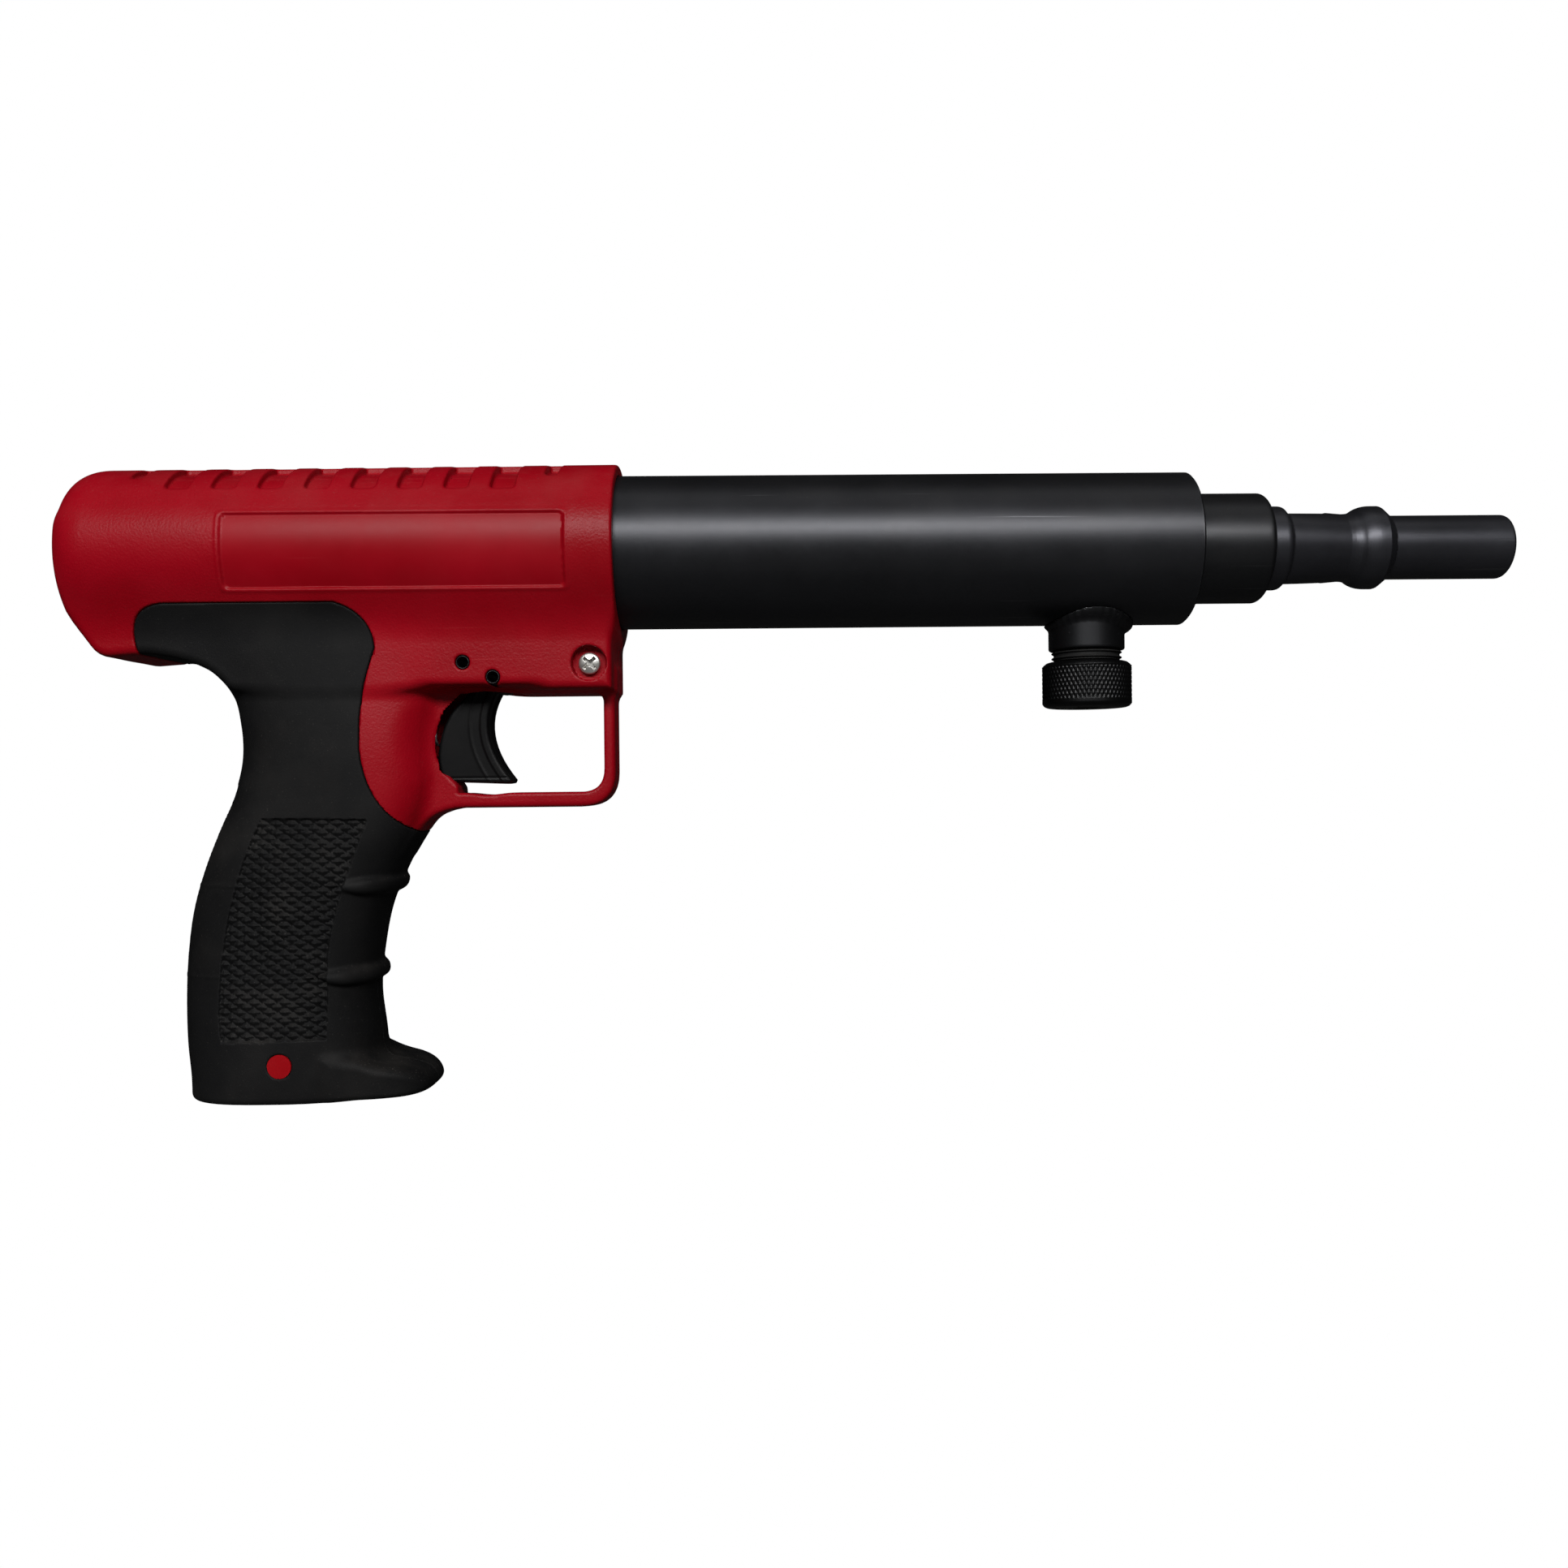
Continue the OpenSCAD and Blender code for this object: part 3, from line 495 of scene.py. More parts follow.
class Graph:
    """Small helper that adds nodes to a node tree."""

    def __init__(self, tree: bpy.types.NodeTree) -> None:
        """Keeps the tree.

        Args:
            tree: the node tree to add to.
        """
        self.tree = tree

    def add(self, kind: str, inputs: dict | None = None, **settings) -> bpy.types.Node:
        """Adds one node.

        Args:
            kind: the node's type.
            inputs: socket name or number to a value or a socket.
            settings: attributes of the node.

        Returns:
            The node.
        """
        node = self.tree.nodes.new(kind)
        for key, value in settings.items():
            setattr(node, key, value)
        for key, value in (inputs or {}).items():
            if isinstance(value, bpy.types.NodeSocket):
                self.tree.links.new(value, node.inputs[key])
            else:
                node.inputs[key].default_value = value
        return node

    def math(self, operation: str, a: Value, b: Value = 0.0, clamp: bool = False) -> Socket:
        """Adds a math node.

        Args:
            operation: the node's operation.
            a, b: its inputs.
            clamp: whether the result stays from 0 to 1.

        Returns:
            Its output.
        """
        return self.add("ShaderNodeMath", {0: a, 1: b}, operation=operation, use_clamp=clamp).outputs[0]

    def span(self, value: Socket, a: float, b: float, c: float = 0.0, d: float = 1.0) -> Socket:
        """Maps a..b to c..d, clamped.

        Args:
            value: the input.
            a, b, c, d: the two ranges.

        Returns:
            The mapped value.
        """
        ends = {"From Min": a, "From Max": b, "To Min": c, "To Max": d, "Value": value}
        return self.add("ShaderNodeMapRange", ends).outputs[0]

    def noise(self, where: Socket, scale: Value, detail: float, **inputs: float) -> bpy.types.Node:
        """Adds a noise texture.

        Args:
            where: the coordinates.
            scale, detail: its settings.
            inputs: other inputs.

        Returns:
            The node.
        """
        return self.add("ShaderNodeTexNoise", {"Vector": where, "Scale": scale, "Detail": detail, **inputs})

    def mix(self, share: Value, a: Value, b: Value) -> Socket:
        """Mixes two colours.

        Args:
            share: how much of b.
            a, b: the colours.

        Returns:
            The mixed colour.
        """
        node = self.add("ShaderNodeMix", data_type="RGBA")
        for key, value in ((0, share), (6, a), (7, b)):
            if isinstance(value, bpy.types.NodeSocket):
                self.tree.links.new(value, node.inputs[key])
            else:
                node.inputs[key].default_value = (*value, 1.0) if isinstance(value, tuple) else value
        return node.outputs[2]


class Effects:
    """Shader node groups that every finish shares, built once."""

    def __init__(self) -> None:
        """Builds the groups."""
        self.patches = self._patches()
        self.grain = self._grain()
        self.lines = self._lines()
        self.scratches = self._scratches()
        self.edges = self._edges()
        self.dust = self._dust()

    @staticmethod
    def _start(name: str, inputs: dict, outputs: tuple) -> tuple:
        """Starts a group.

        Args:
            name: the group's name.
            inputs: socket name to default value.
            outputs: names of the outputs.

        Returns:
            The tree, a Graph, the input node and the output node.
        """
        tree = bpy.data.node_groups.new(name, "ShaderNodeTree")
        for key, value in inputs.items():
            kind = "NodeSocketVector" if value is None else "NodeSocketFloat"
            made = tree.interface.new_socket(name=key, in_out="INPUT", socket_type=kind)
            if value is not None:
                made.default_value = value
        for key in outputs:
            tree.interface.new_socket(name=key, in_out="OUTPUT", socket_type="NodeSocketFloat")
        return tree, Graph(tree), tree.nodes.new("NodeGroupInput"), tree.nodes.new("NodeGroupOutput")

    def _patches(self) -> bpy.types.NodeTree:
        """Broad uneven patches and fine mottling, for colour and gloss."""
        tree, g, i, o = self._start("Patches", {"Vector": None, "Size": 0.02}, ("Broad", "Fine"))
        scale = g.math("DIVIDE", 1.0, i.outputs["Size"])
        broad = g.noise(i.outputs["Vector"], scale, 4.0, Roughness=0.6)
        fine = g.noise(i.outputs["Vector"], g.math("MULTIPLY", scale, 22.0), 3.0)
        tree.links.new(g.span(broad.outputs[0], 0.32, 0.68), o.inputs["Broad"])
        tree.links.new(g.span(fine.outputs[0], 0.3, 0.7), o.inputs["Fine"])
        return tree

    def _grain(self) -> bpy.types.NodeTree:
        """Moulded leather-like grain."""
        tree, g, i, o = self._start("Grain", {"Vector": None, "Size": 0.0005}, ("Height",))
        where, size = i.outputs["Vector"], i.outputs["Size"]
        scale = g.math("DIVIDE", 1.0, size)
        warp = g.noise(where, g.math("MULTIPLY", scale, 0.5), 2.0)
        push = {0: warp.outputs[1], 3: g.math("MULTIPLY", size, 0.9)}
        moved = g.add("ShaderNodeVectorMath", push, operation="SCALE")
        there = g.add("ShaderNodeVectorMath", {0: where, 1: moved.outputs[0]}, operation="ADD").outputs[0]
        cells = g.add("ShaderNodeTexVoronoi", {"Vector": there, "Scale": scale}, feature="SMOOTH_F1")
        noise = g.noise(there, g.math("MULTIPLY", scale, 1.3), 3.0)
        low = g.math("MULTIPLY", g.span(cells.outputs[0], 0.1, 0.8), -0.6)
        tree.links.new(g.math("ADD", low, g.math("MULTIPLY", noise.outputs[0], 0.7)), o.inputs["Height"])
        return tree

    def _lines(self) -> bpy.types.NodeTree:
        """Fine and wide rings that a lathe leaves round the X axis."""
        tree, g, i, o = self._start("Turned lines", {"Vector": None}, ("Height",))
        parts = g.add("ShaderNodeSeparateXYZ", {0: i.outputs["Vector"]})
        rings = []
        for along, across, detail, share in ((5200.0, 9.0, 2.0, 0.6), (1300.0, 5.0, 1.0, 0.4)):
            scales = (along, across, across)
            drawn = {k: g.math("MULTIPLY", parts.outputs[k], v) for k, v in enumerate(scales)}
            thin = g.add("ShaderNodeCombineXYZ", drawn)
            rings.append(g.math("MULTIPLY", g.noise(thin.outputs[0], 1.0, detail).outputs[0], share))
        tree.links.new(g.math("ADD", *rings), o.inputs["Height"])
        return tree

    def _scratches(self) -> bpy.types.NodeTree:
        """Sparse thin scratches in a few directions."""
        tree, g, i, o = self._start("Scratches", {"Vector": None, "Amount": 0.3}, ("Mask",))
        where, found = i.outputs["Vector"], None
        for turn, stretch, seed in ((0.35, 14.0, 3.1), (-0.8, 20.0, 7.7), (1.25, 26.0, 12.4)):
            spot = g.add("ShaderNodeMapping", {
                "Vector": where,
                "Location": (seed, seed * 0.7, seed * 1.9),
                "Rotation": (turn, turn * 0.6, turn * 1.3),
                "Scale": (stretch, 900.0, 900.0),
            })
            thin = g.span(g.noise(spot.outputs[0], 1.0, 1.0).outputs[0], 0.735, 0.78)
            found = thin if found is None else g.math("MAXIMUM", found, thin)
        mask = g.math("MULTIPLY", found, g.span(g.noise(where, 38.0, 2.0).outputs[0], 0.48, 0.64))
        tree.links.new(g.math("MULTIPLY", mask, i.outputs["Amount"], True), o.inputs["Mask"])
        return tree

    def _edges(self) -> bpy.types.NodeTree:
        """Worn outer edges, broken up by noise."""
        inputs = {"Vector": None, "Radius": 0.0006, "Amount": 0.3}
        tree, g, i, o = self._start("Edge wear", inputs, ("Mask",))
        soft = g.add("ShaderNodeBevel", {"Radius": i.outputs["Radius"]}, samples=4)
        hard = g.add("ShaderNodeNewGeometry")
        pair = {0: soft.outputs[0], 1: hard.outputs["Normal"]}
        same = g.add("ShaderNodeVectorMath", pair, operation="DOT_PRODUCT")
        bent = g.span(same.outputs["Value"], 0.985, 0.86)
        noise = g.noise(i.outputs["Vector"], 420.0, 3.0)
        mask = g.math("MULTIPLY", bent, g.span(noise.outputs[0], 0.42, 0.66))
        tree.links.new(g.math("MULTIPLY", mask, i.outputs["Amount"], True), o.inputs["Mask"])
        return tree

    def _dust(self) -> bpy.types.NodeTree:
        """Fine specks and a film on faces that look up."""
        tree, g, i, o = self._start("Dust", {"Vector": None, "Amount": 0.1}, ("Mask",))
        normal = g.add("ShaderNodeNewGeometry").outputs["Normal"]
        up = g.span(g.add("ShaderNodeSeparateXYZ", {0: normal}).outputs[2], -0.1, 1.0, 0.15, 1.0)
        specks = g.span(g.noise(i.outputs["Vector"], 2600.0, 1.0).outputs[0], 0.70, 0.76)
        film = g.span(g.noise(i.outputs["Vector"], 90.0, 4.0).outputs[0], 0.45, 0.8, 0.0, 0.35)
        both = g.math("MULTIPLY", g.math("ADD", specks, film), up)
        tree.links.new(g.math("MULTIPLY", both, i.outputs["Amount"], True), o.inputs["Mask"])
        return tree


class Paint:
    """Makes one material for each finish."""

    def __init__(self) -> None:
        """Builds the shared groups."""
        self.effects = Effects()
        self.made: dict = {}

    def of(self, slot: str) -> bpy.types.Material:
        """Material of a slot, made when it is first asked for.

        Args:
            slot: the record's material slot.

        Returns:
            The material.
        """
        if slot not in self.made:
            self.made[slot] = self._build(slot, FINISHES[slot])
        return self.made[slot]

    def dress(self, piece: bpy.types.Object, slot: str) -> None:
        """Gives a piece its material.

        Args:
            piece: the object.
            slot: the record's material slot.
        """
        piece.data.materials.clear()
        piece.data.materials.append(self.of(slot))

    def fit(self, piece: bpy.types.Object, slot: str, body: str, node: str = "") -> None:
        """Dresses a piece, puts it in a CAD node's place and rides it on a body.

        Args:
            piece: the object.
            slot: the record's material slot.
            body: the body it moves with.
            node: the CAD node that it stands for, or nothing.
        """
        self.dress(piece, slot)
        if node:
            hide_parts(node)
        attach(piece, body)

    def _use(self, g: Graph, group: bpy.types.NodeTree, where: Socket, **inputs: float) -> bpy.types.Node:
        """Adds a shared group to a material.

        Args:
            g: the material's graph.
            group: the shared group.
            where: the coordinates.
            inputs: the group's other inputs.

        Returns:
            The group node.
        """
        node = g.add("ShaderNodeGroup", node_tree=group)
        g.tree.links.new(where, node.inputs["Vector"])
        for key, value in inputs.items():
            node.inputs[key].default_value = value
        return node

    def _build(self, slot: str, f: Finish) -> bpy.types.Material:
        """Builds one material.

        Args:
            slot: its name.
            f: its finish.

        Returns:
            The material.
        """
        material = bpy.data.materials.new(slot)
        material.use_nodes = True
        tree = material.node_tree
        tree.nodes.clear()
        g, e, r = Graph(tree), self.effects, Recipe()
        where = g.add("ShaderNodeTexCoord").outputs["Object"]
        patches = self._use(g, e.patches, where, Size=r.patch)
        colour = g.mix(patches.outputs["Broad"], f.dark, f.light)
        scratch = self._use(g, e.scratches, where, Amount=f.scratch).outputs[0]
        edge = self._use(g, e.edges, where, Amount=f.wear, Radius=r.worn_edge).outputs[0]
        worn = g.math("MAXIMUM", g.math("MULTIPLY", scratch, r.scratch_colour), edge)
        colour = g.mix(worn, colour, f.wear_colour)
        dust = self._use(g, e.dust, where, Amount=f.dust).outputs[0]
        colour = g.mix(dust, colour, r.dust)
        swing = g.math("MULTIPLY", patches.outputs["Broad"], f.rough_swing)
        rough = g.math("ADD", swing, f.rough - f.rough_swing / 2)
        rough = g.math("ADD", rough, g.math("MULTIPLY", patches.outputs["Fine"], f.rough_swing * 0.5))
        rough = g.math("ADD", rough, g.math("MULTIPLY", dust, r.dust_rough), True)
        grain = self._use(g, e.grain, where, Size=f.grain_mm * MM)
        height = g.math("MULTIPLY", grain.outputs[0], f.grain)
        if f.smooth_panel:
            height = g.math("MULTIPLY", height, self._off_panel(g, where, r.panel_grain))
        if f.turned:
            lines = self._use(g, e.lines, where)
            height = g.math("ADD", height, g.math("MULTIPLY", lines.outputs[0], f.turned))
        height = g.math("SUBTRACT", height, g.math("MULTIPLY", scratch, r.scratch_deep))
        bump = g.add("ShaderNodeBump", {"Height": height, "Strength": r.bump, "Distance": r.bump_deep})
        looks = {"Base Color": colour, "Roughness": rough, "Normal": bump.outputs[0]}
        shader = g.add("ShaderNodeBsdfPrincipled", looks)
        steel = f.base is Base.STEEL
        shader.inputs["Metallic"].default_value = r.metallic if steel else 0.0
        shader.inputs["IOR"].default_value = r.soft_ior if f.base is Base.SOFT else r.ior
        shader.inputs["Specular IOR Level"].default_value = r.steel_shine if steel else r.plastic_shine
        if steel:
            shader.inputs["Coat Weight"].default_value = r.coat if f.dark[0] < 0.05 else 0.0
            shader.inputs["Coat Roughness"].default_value = r.coat_rough
        out = g.add("ShaderNodeOutputMaterial")
        tree.links.new(shader.outputs[0], out.inputs[0])
        return material

    @staticmethod
    def _off_panel(g: Graph, where: Socket, left: float) -> Socket:
        """Share of the grain that is left: none on the smooth side panel.

        Args:
            g: the material's graph.
            where: the coordinates.
            left: the share on the panel.

        Returns:
            1 outside the panel, and the small share on it.
        """
        x0, x1, z0, z1 = HousingSizes().panel
        parts = g.add("ShaderNodeSeparateXYZ", {0: where})
        dx = g.math("ABSOLUTE", g.math("SUBTRACT", parts.outputs[0], (x0 + x1) / 2 * MM))
        dz = g.math("ABSOLUTE", g.math("SUBTRACT", parts.outputs[2], (z0 + z1) / 2 * MM))
        inside_x = g.span(dx, (x1 - x0) / 2 * MM, ((x1 - x0) / 2 + 0.4) * MM)
        inside_z = g.span(dz, (z1 - z0) / 2 * MM, ((z1 - z0) / 2 + 0.4) * MM)
        return g.math("MAXIMUM", g.math("MAXIMUM", inside_x, inside_z), left)


# ---- Housing ---------------------------------------------------------------------------------


@dataclass(frozen=True)
class HousingSizes:
    """Sizes of the moulded housing and its soft covers, in millimetres.

    Grip rows hold height, rear, front and half width.
    """

    sleeve_r: float = 21.1
    sleeve_draft: float = 0.65
    rear_round: float = 9.5
    block_half: float = 14.0
    block_z: float = -34.8
    block_back: float = 1.3
    spine: float = 3.2
    guard_half: float = 5.6
    cover_t: float = 2.0
    wall: float = 2.4
    panel: tuple = (-314.8, -234.4, -10.8, 6.3)
    slot_first: float = -338.0
    slot_pitch: float = 11.07
    slot_w: float = 5.9
    scoop: tuple = (-255.9, -47.6)
    scoop_r: float = 12.5
    grip_power: float = 2.7
    grip: tuple = (
        (-10.0, -342.0, -269.0, 13.6), (-18.0, -334.0, -269.0, 13.8), (-27.0, -325.6, -268.2, 14.2),
        (-35.0, -319.0, -268.0, 14.6), (-42.6, -316.9, -268.6, 15.2), (-51.0, -316.5, -269.2, 15.7),
        (-60.0, -318.7, -270.0, 15.9), (-68.5, -322.4, -272.8, 16.1), (-77.0, -325.6, -277.4, 16.4),
        (-87.0, -328.4, -281.8, 16.6), (-98.0, -329.9, -284.2, 16.7), (-109.0, -330.4, -285.2, 16.8),
        (-120.0, -330.2, -284.0, 16.9), (-129.0, -329.4, -283.4, 16.9), (-138.0, -329.4, -284.0, 16.6),
    )
    ridges: tuple = ((-82.6, 2.1), (-104.4, 2.1))
    ridge_run: float = 15.0
    checker_w: float = 3.6
    checker_h: float = 2.3
    checker_deep: float = 0.8


class Housing:
    """Two moulded shells with soft covers on the grip."""

    def __init__(self, paint: Paint) -> None:
        """Reads the boxes and samples the outlines.

        Args:
            paint: where the materials come from.
        """
        self.paint = paint
        self.s = HousingSizes()
        self.box = NodeBox.of("housing_right")
        self.cover_box = NodeBox.of("grip_cover_right")
        self.front = self.box.high[0]
        self.rear = self.box.low[0]
        self.base = self.cover_box.low[2]
        self.screws = [NodeBox.of(node).centre for node in ("front_screw", "grip_screw")]
        self.pins = [NodeBox.of(node).centre for node in ("sear_pin", "trigger_pin")]
        rows = np.array(self.s.grip[::-1])
        self.rows_z = np.linspace(rows[0, 0], rows[-1, 0], 400)
        self.rows = [self._spline(rows[:, 0], rows[:, k], self.rows_z) for k in (1, 2, 3)]
        self._outlines()

    @staticmethod
    def _spline(t: Nums, v: Nums, at: Nums) -> Nums:
        """Smooth curve through points.

        Args:
            t, v: the points, t rising.
            at: where to read it.

        Returns:
            The values there.
        """
        m = np.gradient(v, t)
        i = np.clip(np.searchsorted(t, at) - 1, 0, len(t) - 2)
        w = t[i + 1] - t[i]
        u = (at - t[i]) / w
        a, b = (1 + 2 * u) * (1 - u) ** 2, u * (1 - u) ** 2
        c, d = u * u * (3 - 2 * u), u * u * (u - 1)
        return a * v[i] + b * w * m[i] + c * v[i + 1] + d * w * m[i + 1]

    def _outlines(self) -> None:
        """Samples the side views of the block, guard, toe, cover and checkered panel."""
        f, r, s = self.front, self.rear, self.s
        low = -63.5
        self.block2 = Outline(
            [(f - s.block_back, 4), (f - s.block_back, s.block_z), (f - 46, s.block_z), (f - 92, -34.4)]
            + bend((f - 93.5, -33.8), (f - 98.2, -26.9), (f - 113, -25.6))
            + bend((r + 12, -26.2), (r + 6.5, -26.3), (r + 4.2, -15))
            + [(r + 4.2, 4)]
        )
        g = f - s.block_back - 0.2
        self.guard2 = Outline(
            [(g, -30), (g, low + 8.5)]
            + bend((g, low + 8.5), (g, low), (g - 8.5, low))
            + bend((g - 37, low), (g - 47, low), (g - 53, low - 10))
            + [(g - 60, low - 10), (g - 60, -30)]
        )
        w = g - 2.8
        self.window2 = Outline(
            bend((w - 2.2, s.block_z + 0.2), (w, s.block_z + 0.2), (w, s.block_z - 2.2), 4)
            + bend((w, -54), (w, -59.8), (w - 5.8, -59.8))
            + [(w - 36, -59.8), (w - 36, s.block_z + 0.2)]
        )
        toe = f - 46.3
        b = self.base
        self.toe2 = Outline(
            [(toe - 24, b + 10), (toe - 17, b + 10)]
            + bend((toe - 15.6, b + 9.6), (toe - 13, b + 8.4), (toe - 10, b + 7.9))
            + bend((toe - 10, b + 7.9), (toe - 0.3, b + 6.6), (toe, b + 2.6))
            + bend((toe, b + 2.6), (toe - 0.4, b - 0.4), (toe - 8, b - 0.5))
            + [(toe - 24, b - 0.5)]
        )
        top = -13.9
        self.cover2 = Outline(
            [(f - 117.5, -160)]
            + bend((f - 114, -27), (f - 118.4, -15), (f - 107.5, top), 10)
            + bend((f - 67, top), (f - 58.8, top - 2.2), (f - 58, top - 10.5), 10)
            + bend((f - 58, top - 11), (f - 61.8, top - 22), (f - 61.6, top - 31), 10)
            + bend((f - 61.6, top - 35), (f - 60, top - 51), (f - 47.5, top - 56.5), 10)
            + [(f - 30, top - 57), (f - 30, -160)],
            step=0.35,
        )
        c = f - 84.8
        self.panel2 = Outline(
            [(c, -65.4), (c + 24.4, -65.9)]
            + bend((c + 24.6, -66.4), (c + 16.6, -86), (c + 15, -98))
            + [(c + 14.6, -118.4), (c - 9.8, -118.6)]
            + bend((c - 10.4, -112), (c - 9.6, -86), (c - 0.8, -66.8))
        )

    def grip(self, x: Nums, y: Nums, z: Nums) -> Nums:
        """Field of the bare grip.

        Args:
            x, y, z: where, in millimetres.

        Returns:
            Signed distances.
        """
        back, front, half = (np.interp(z, self.rows_z, row) for row in self.rows)
        a, p = (front - back) / 2, self.s.grip_power
        u, v = np.abs(x - (front + back) / 2) / a + 1e-6, np.abs(y) / half + 1e-6
        rho = (u**p + v**p) ** (1 / p)
        steep = np.sqrt(((u / rho) ** (p - 1) / a) ** 2 + ((v / rho) ** (p - 1) / half) ** 2)
        return (rho - 1) / steep

    def _ridged(self, x: Nums, y: Nums, z: Nums) -> Nums:
        """Grip with its finger ridges, toe and flat base.

        Args:
            x, y, z: where, in millimetres.

        Returns:
            Signed distances.
        """
        d = self.grip(x, y, z)
        front = np.interp(z, self.rows_z, self.rows[1])
        for level, size in self.s.ridges:
            share = ramp(front - self.s.ridge_run, front - 3.0, x)
            above = z - level - 1.2 * (1 - share)
            ring = np.hypot(d + 0.35, above * (1.0 - 0.22 * np.sign(above))) - size * share
            d = join(d, ring, 0.9)
        plan = ((np.abs(x + 300.0) / 30.8) ** 3.0 + (np.abs(y) / 15.4) ** 3.0 + 1e-9) ** (1 / 3.0)
        toe = meet(self.toe2(x, z), (plan - 1) * 14.0, 2.4)
        d = join(d, toe, 3.0)
        d = meet(d, z + 12.0, 2.0)
        return meet(d, self.base + 0.02 - z, 1.8)

    def outside(self, x: Nums, y: Nums, z: Nums) -> Nums:
        """Field of the whole moulded form.

        Args:
            x, y, z: where, in millimetres.

        Returns:
            Signed distances.
        """
        s = self.s
        radial = np.hypot(y, z)
        taper = s.sleeve_draft * (x - self.rear) / (self.front - self.rear)
        sleeve = meet(radial - s.sleeve_r - taper, self.rear + 0.05 - x, s.rear_round)
        block = meet(self.block2(x, z), np.abs(y) - s.block_half, 2.2)
        body = join(sleeve, block, 6.0)
        body = join(body, self._ridged(x, y, z), 3.0)
        cx, cz = s.scoop
        far_out = np.maximum(np.abs(y) - s.guard_half, 0.0)
        around = np.hypot(x - cx, z - cz)
        funnel = (around - (s.scoop_r + 0.2 + 0.75 * far_out)) * 0.8
        funnel = meet(funnel, z - (s.block_z + 0.2), 1.5)
        body = cut(body, funnel, 3.0)
        guard = meet(self.guard2(x, z), np.abs(y) - s.guard_half, 1.6)
        guard = cut(guard, meet(self.window2(x, z), x - self.front + 1, 0.1), 1.0)
        body = join(body, guard, 3.0)
        body = cut(body, around - s.scoop_r, 1.2)
        return meet(body, x - self.front + 0.02, 0.9)

    def _dressed(self, x: Nums, y: Nums, z: Nums) -> Nums:
        """Outside with the side panels and the top slots.

        Args:
            x, y, z: where, in millimetres.

        Returns:
            Signed distances.
        """
        s = self.s
        d = self.outside(x, y, z)
        x0, x1, z0, z1 = s.panel
        px = np.abs(x - (x0 + x1) / 2) - (x1 - x0) / 2
        pz = np.abs(z - (z0 + z1) / 2) - (z1 - z0) / 2
        panel = meet(px, pz, 1.5)
        side = ramp(11.0, 14.0, np.abs(y))
        d = d + side * (0.5 * ramp(0.35, -0.35, panel) - 0.15 * np.exp(-(((panel - 0.65) / 0.4) ** 2)))
        deep = s.sleeve_r - 1.4 - np.hypot(y, z)
        for i in range(10):
            end = i in (0, 9)
            low = s.sleeve_r - (4.4 if end else 8.0 + 0.08 * (i - 5))
            w = 1.6 if end else s.slot_w / 2
            hole = meet(meet(np.abs(x - s.slot_first - s.slot_pitch * i) - w, low - z, 1.2), deep, 0.5)
            d = cut(d, meet(hole, s.spine - np.abs(y), 0.8), 0.6)
        return d

    def _pocket(self, x: Nums, y: Nums, z: Nums) -> Nums:
        """Field of the trigger's pocket.

        Args:
            x, y, z: where, in millimetres.

        Returns:
            Signed distances.
        """
        tx, tz = self.pins[1]
        slot = np.maximum(np.abs(y) - 5.3, np.maximum(np.maximum(x - tx - 5.2, tx - 30 - x), z - tz - 4.5))
        edge = (-57.0 - z) * 0.9 + np.maximum(-262.0 - x, 0.0) * 0.35
        return np.maximum(np.maximum(slot, edge), (x - tx - 5.2) * 0.97 + (-40 - z) * 0.25)

    def _holes(self, x: Nums, y: Nums, z: Nums) -> Nums:
        """Field of the pin and screw holes.

        Args:
            x, y, z: where, in millimetres.

        Returns:
            Signed distances.
        """
        d = None
        far_out = np.abs(y)
        for cx, cz in self.pins:
            hole = np.hypot(x - cx, z - cz) - 1.78
            d = hole if d is None else np.minimum(d, hole)
        for (cx, cz), floor in zip(self.screws, (self.s.block_half - 3.0, 11.0)):
            away = np.hypot(x - cx, z - cz)
            d = np.minimum(d, np.minimum(away - 1.75, np.maximum(away - 4.25, floor - far_out)))
        return d

    def shell(self, x: Nums, y: Nums, z: Nums) -> Nums:
        """Field of one housing shell, on the side where y is negative.

        Args:
            x, y, z: where, in millimetres.

        Returns:
            Signed distances.
        """
        s = self.s
        d = self._dressed(x, y, z)
        under = np.maximum(self.cover2(x, z) - 0.07, -(self.outside(x, y, z) + s.cover_t))
        d = cut(d, under, 0.35)
        hollow = self.outside(x, y, z) + s.cover_t + s.wall
        cx, cz = self.screws[1]
        hollow = np.maximum(hollow, 5.9 - np.hypot(x - cx, z - cz))
        bore = np.maximum(np.hypot(y, z) - 19.07, self.rear + 8.3 - x)
        inner = np.minimum(np.minimum(hollow, bore), self._pocket(x, y, z))
        d = cut(d, inner, 0.3)
        d = cut(d, self._holes(x, y, z), 0.4)
        return meet(d, y + 0.03, 0.25)

    def cover(self, x: Nums, y: Nums, z: Nums) -> Nums:
        """Field of one soft cover, on the side where y is negative.

        Args:
            x, y, z: where, in millimetres.

        Returns:
            Signed distances.
        """
        s = self.s
        d = self.outside(x, y, z)
        flush = d
        u, v = x / s.checker_w, z / s.checker_h
        pyramid = np.minimum(saw(u + v), saw(u - v))
        on_side = ramp(0.25, -0.25, self.panel2(x, z)) * ramp(6.0, 8.0, np.abs(y))
        d = d + s.checker_deep * on_side * (1.0 - 0.95 * pyramid)
        back = np.interp(z, self.rows_z, self.rows[0])
        strip = ramp(-57.0, -57.6, z) * ramp(-118.6, -118.0, z)
        behind = ramp(8.6, 8.1, np.abs(y)) * strip * ramp(back + 9.0, back + 8.0, x)
        u = y / 2.6
        d = d + 0.7 * behind * (1.0 - 0.95 * np.minimum(saw(u + v), saw(u - v)))
        d = meet(d, self.cover2(x, z) + 0.07, 0.45)
        d = cut(d, flush + s.cover_t, 0.2)
        cx, cz = self.screws[1]
        d = cut(d, np.hypot(x - cx, z - cz) - 2.92, 0.35)
        return meet(d, y + 0.03, 0.25)

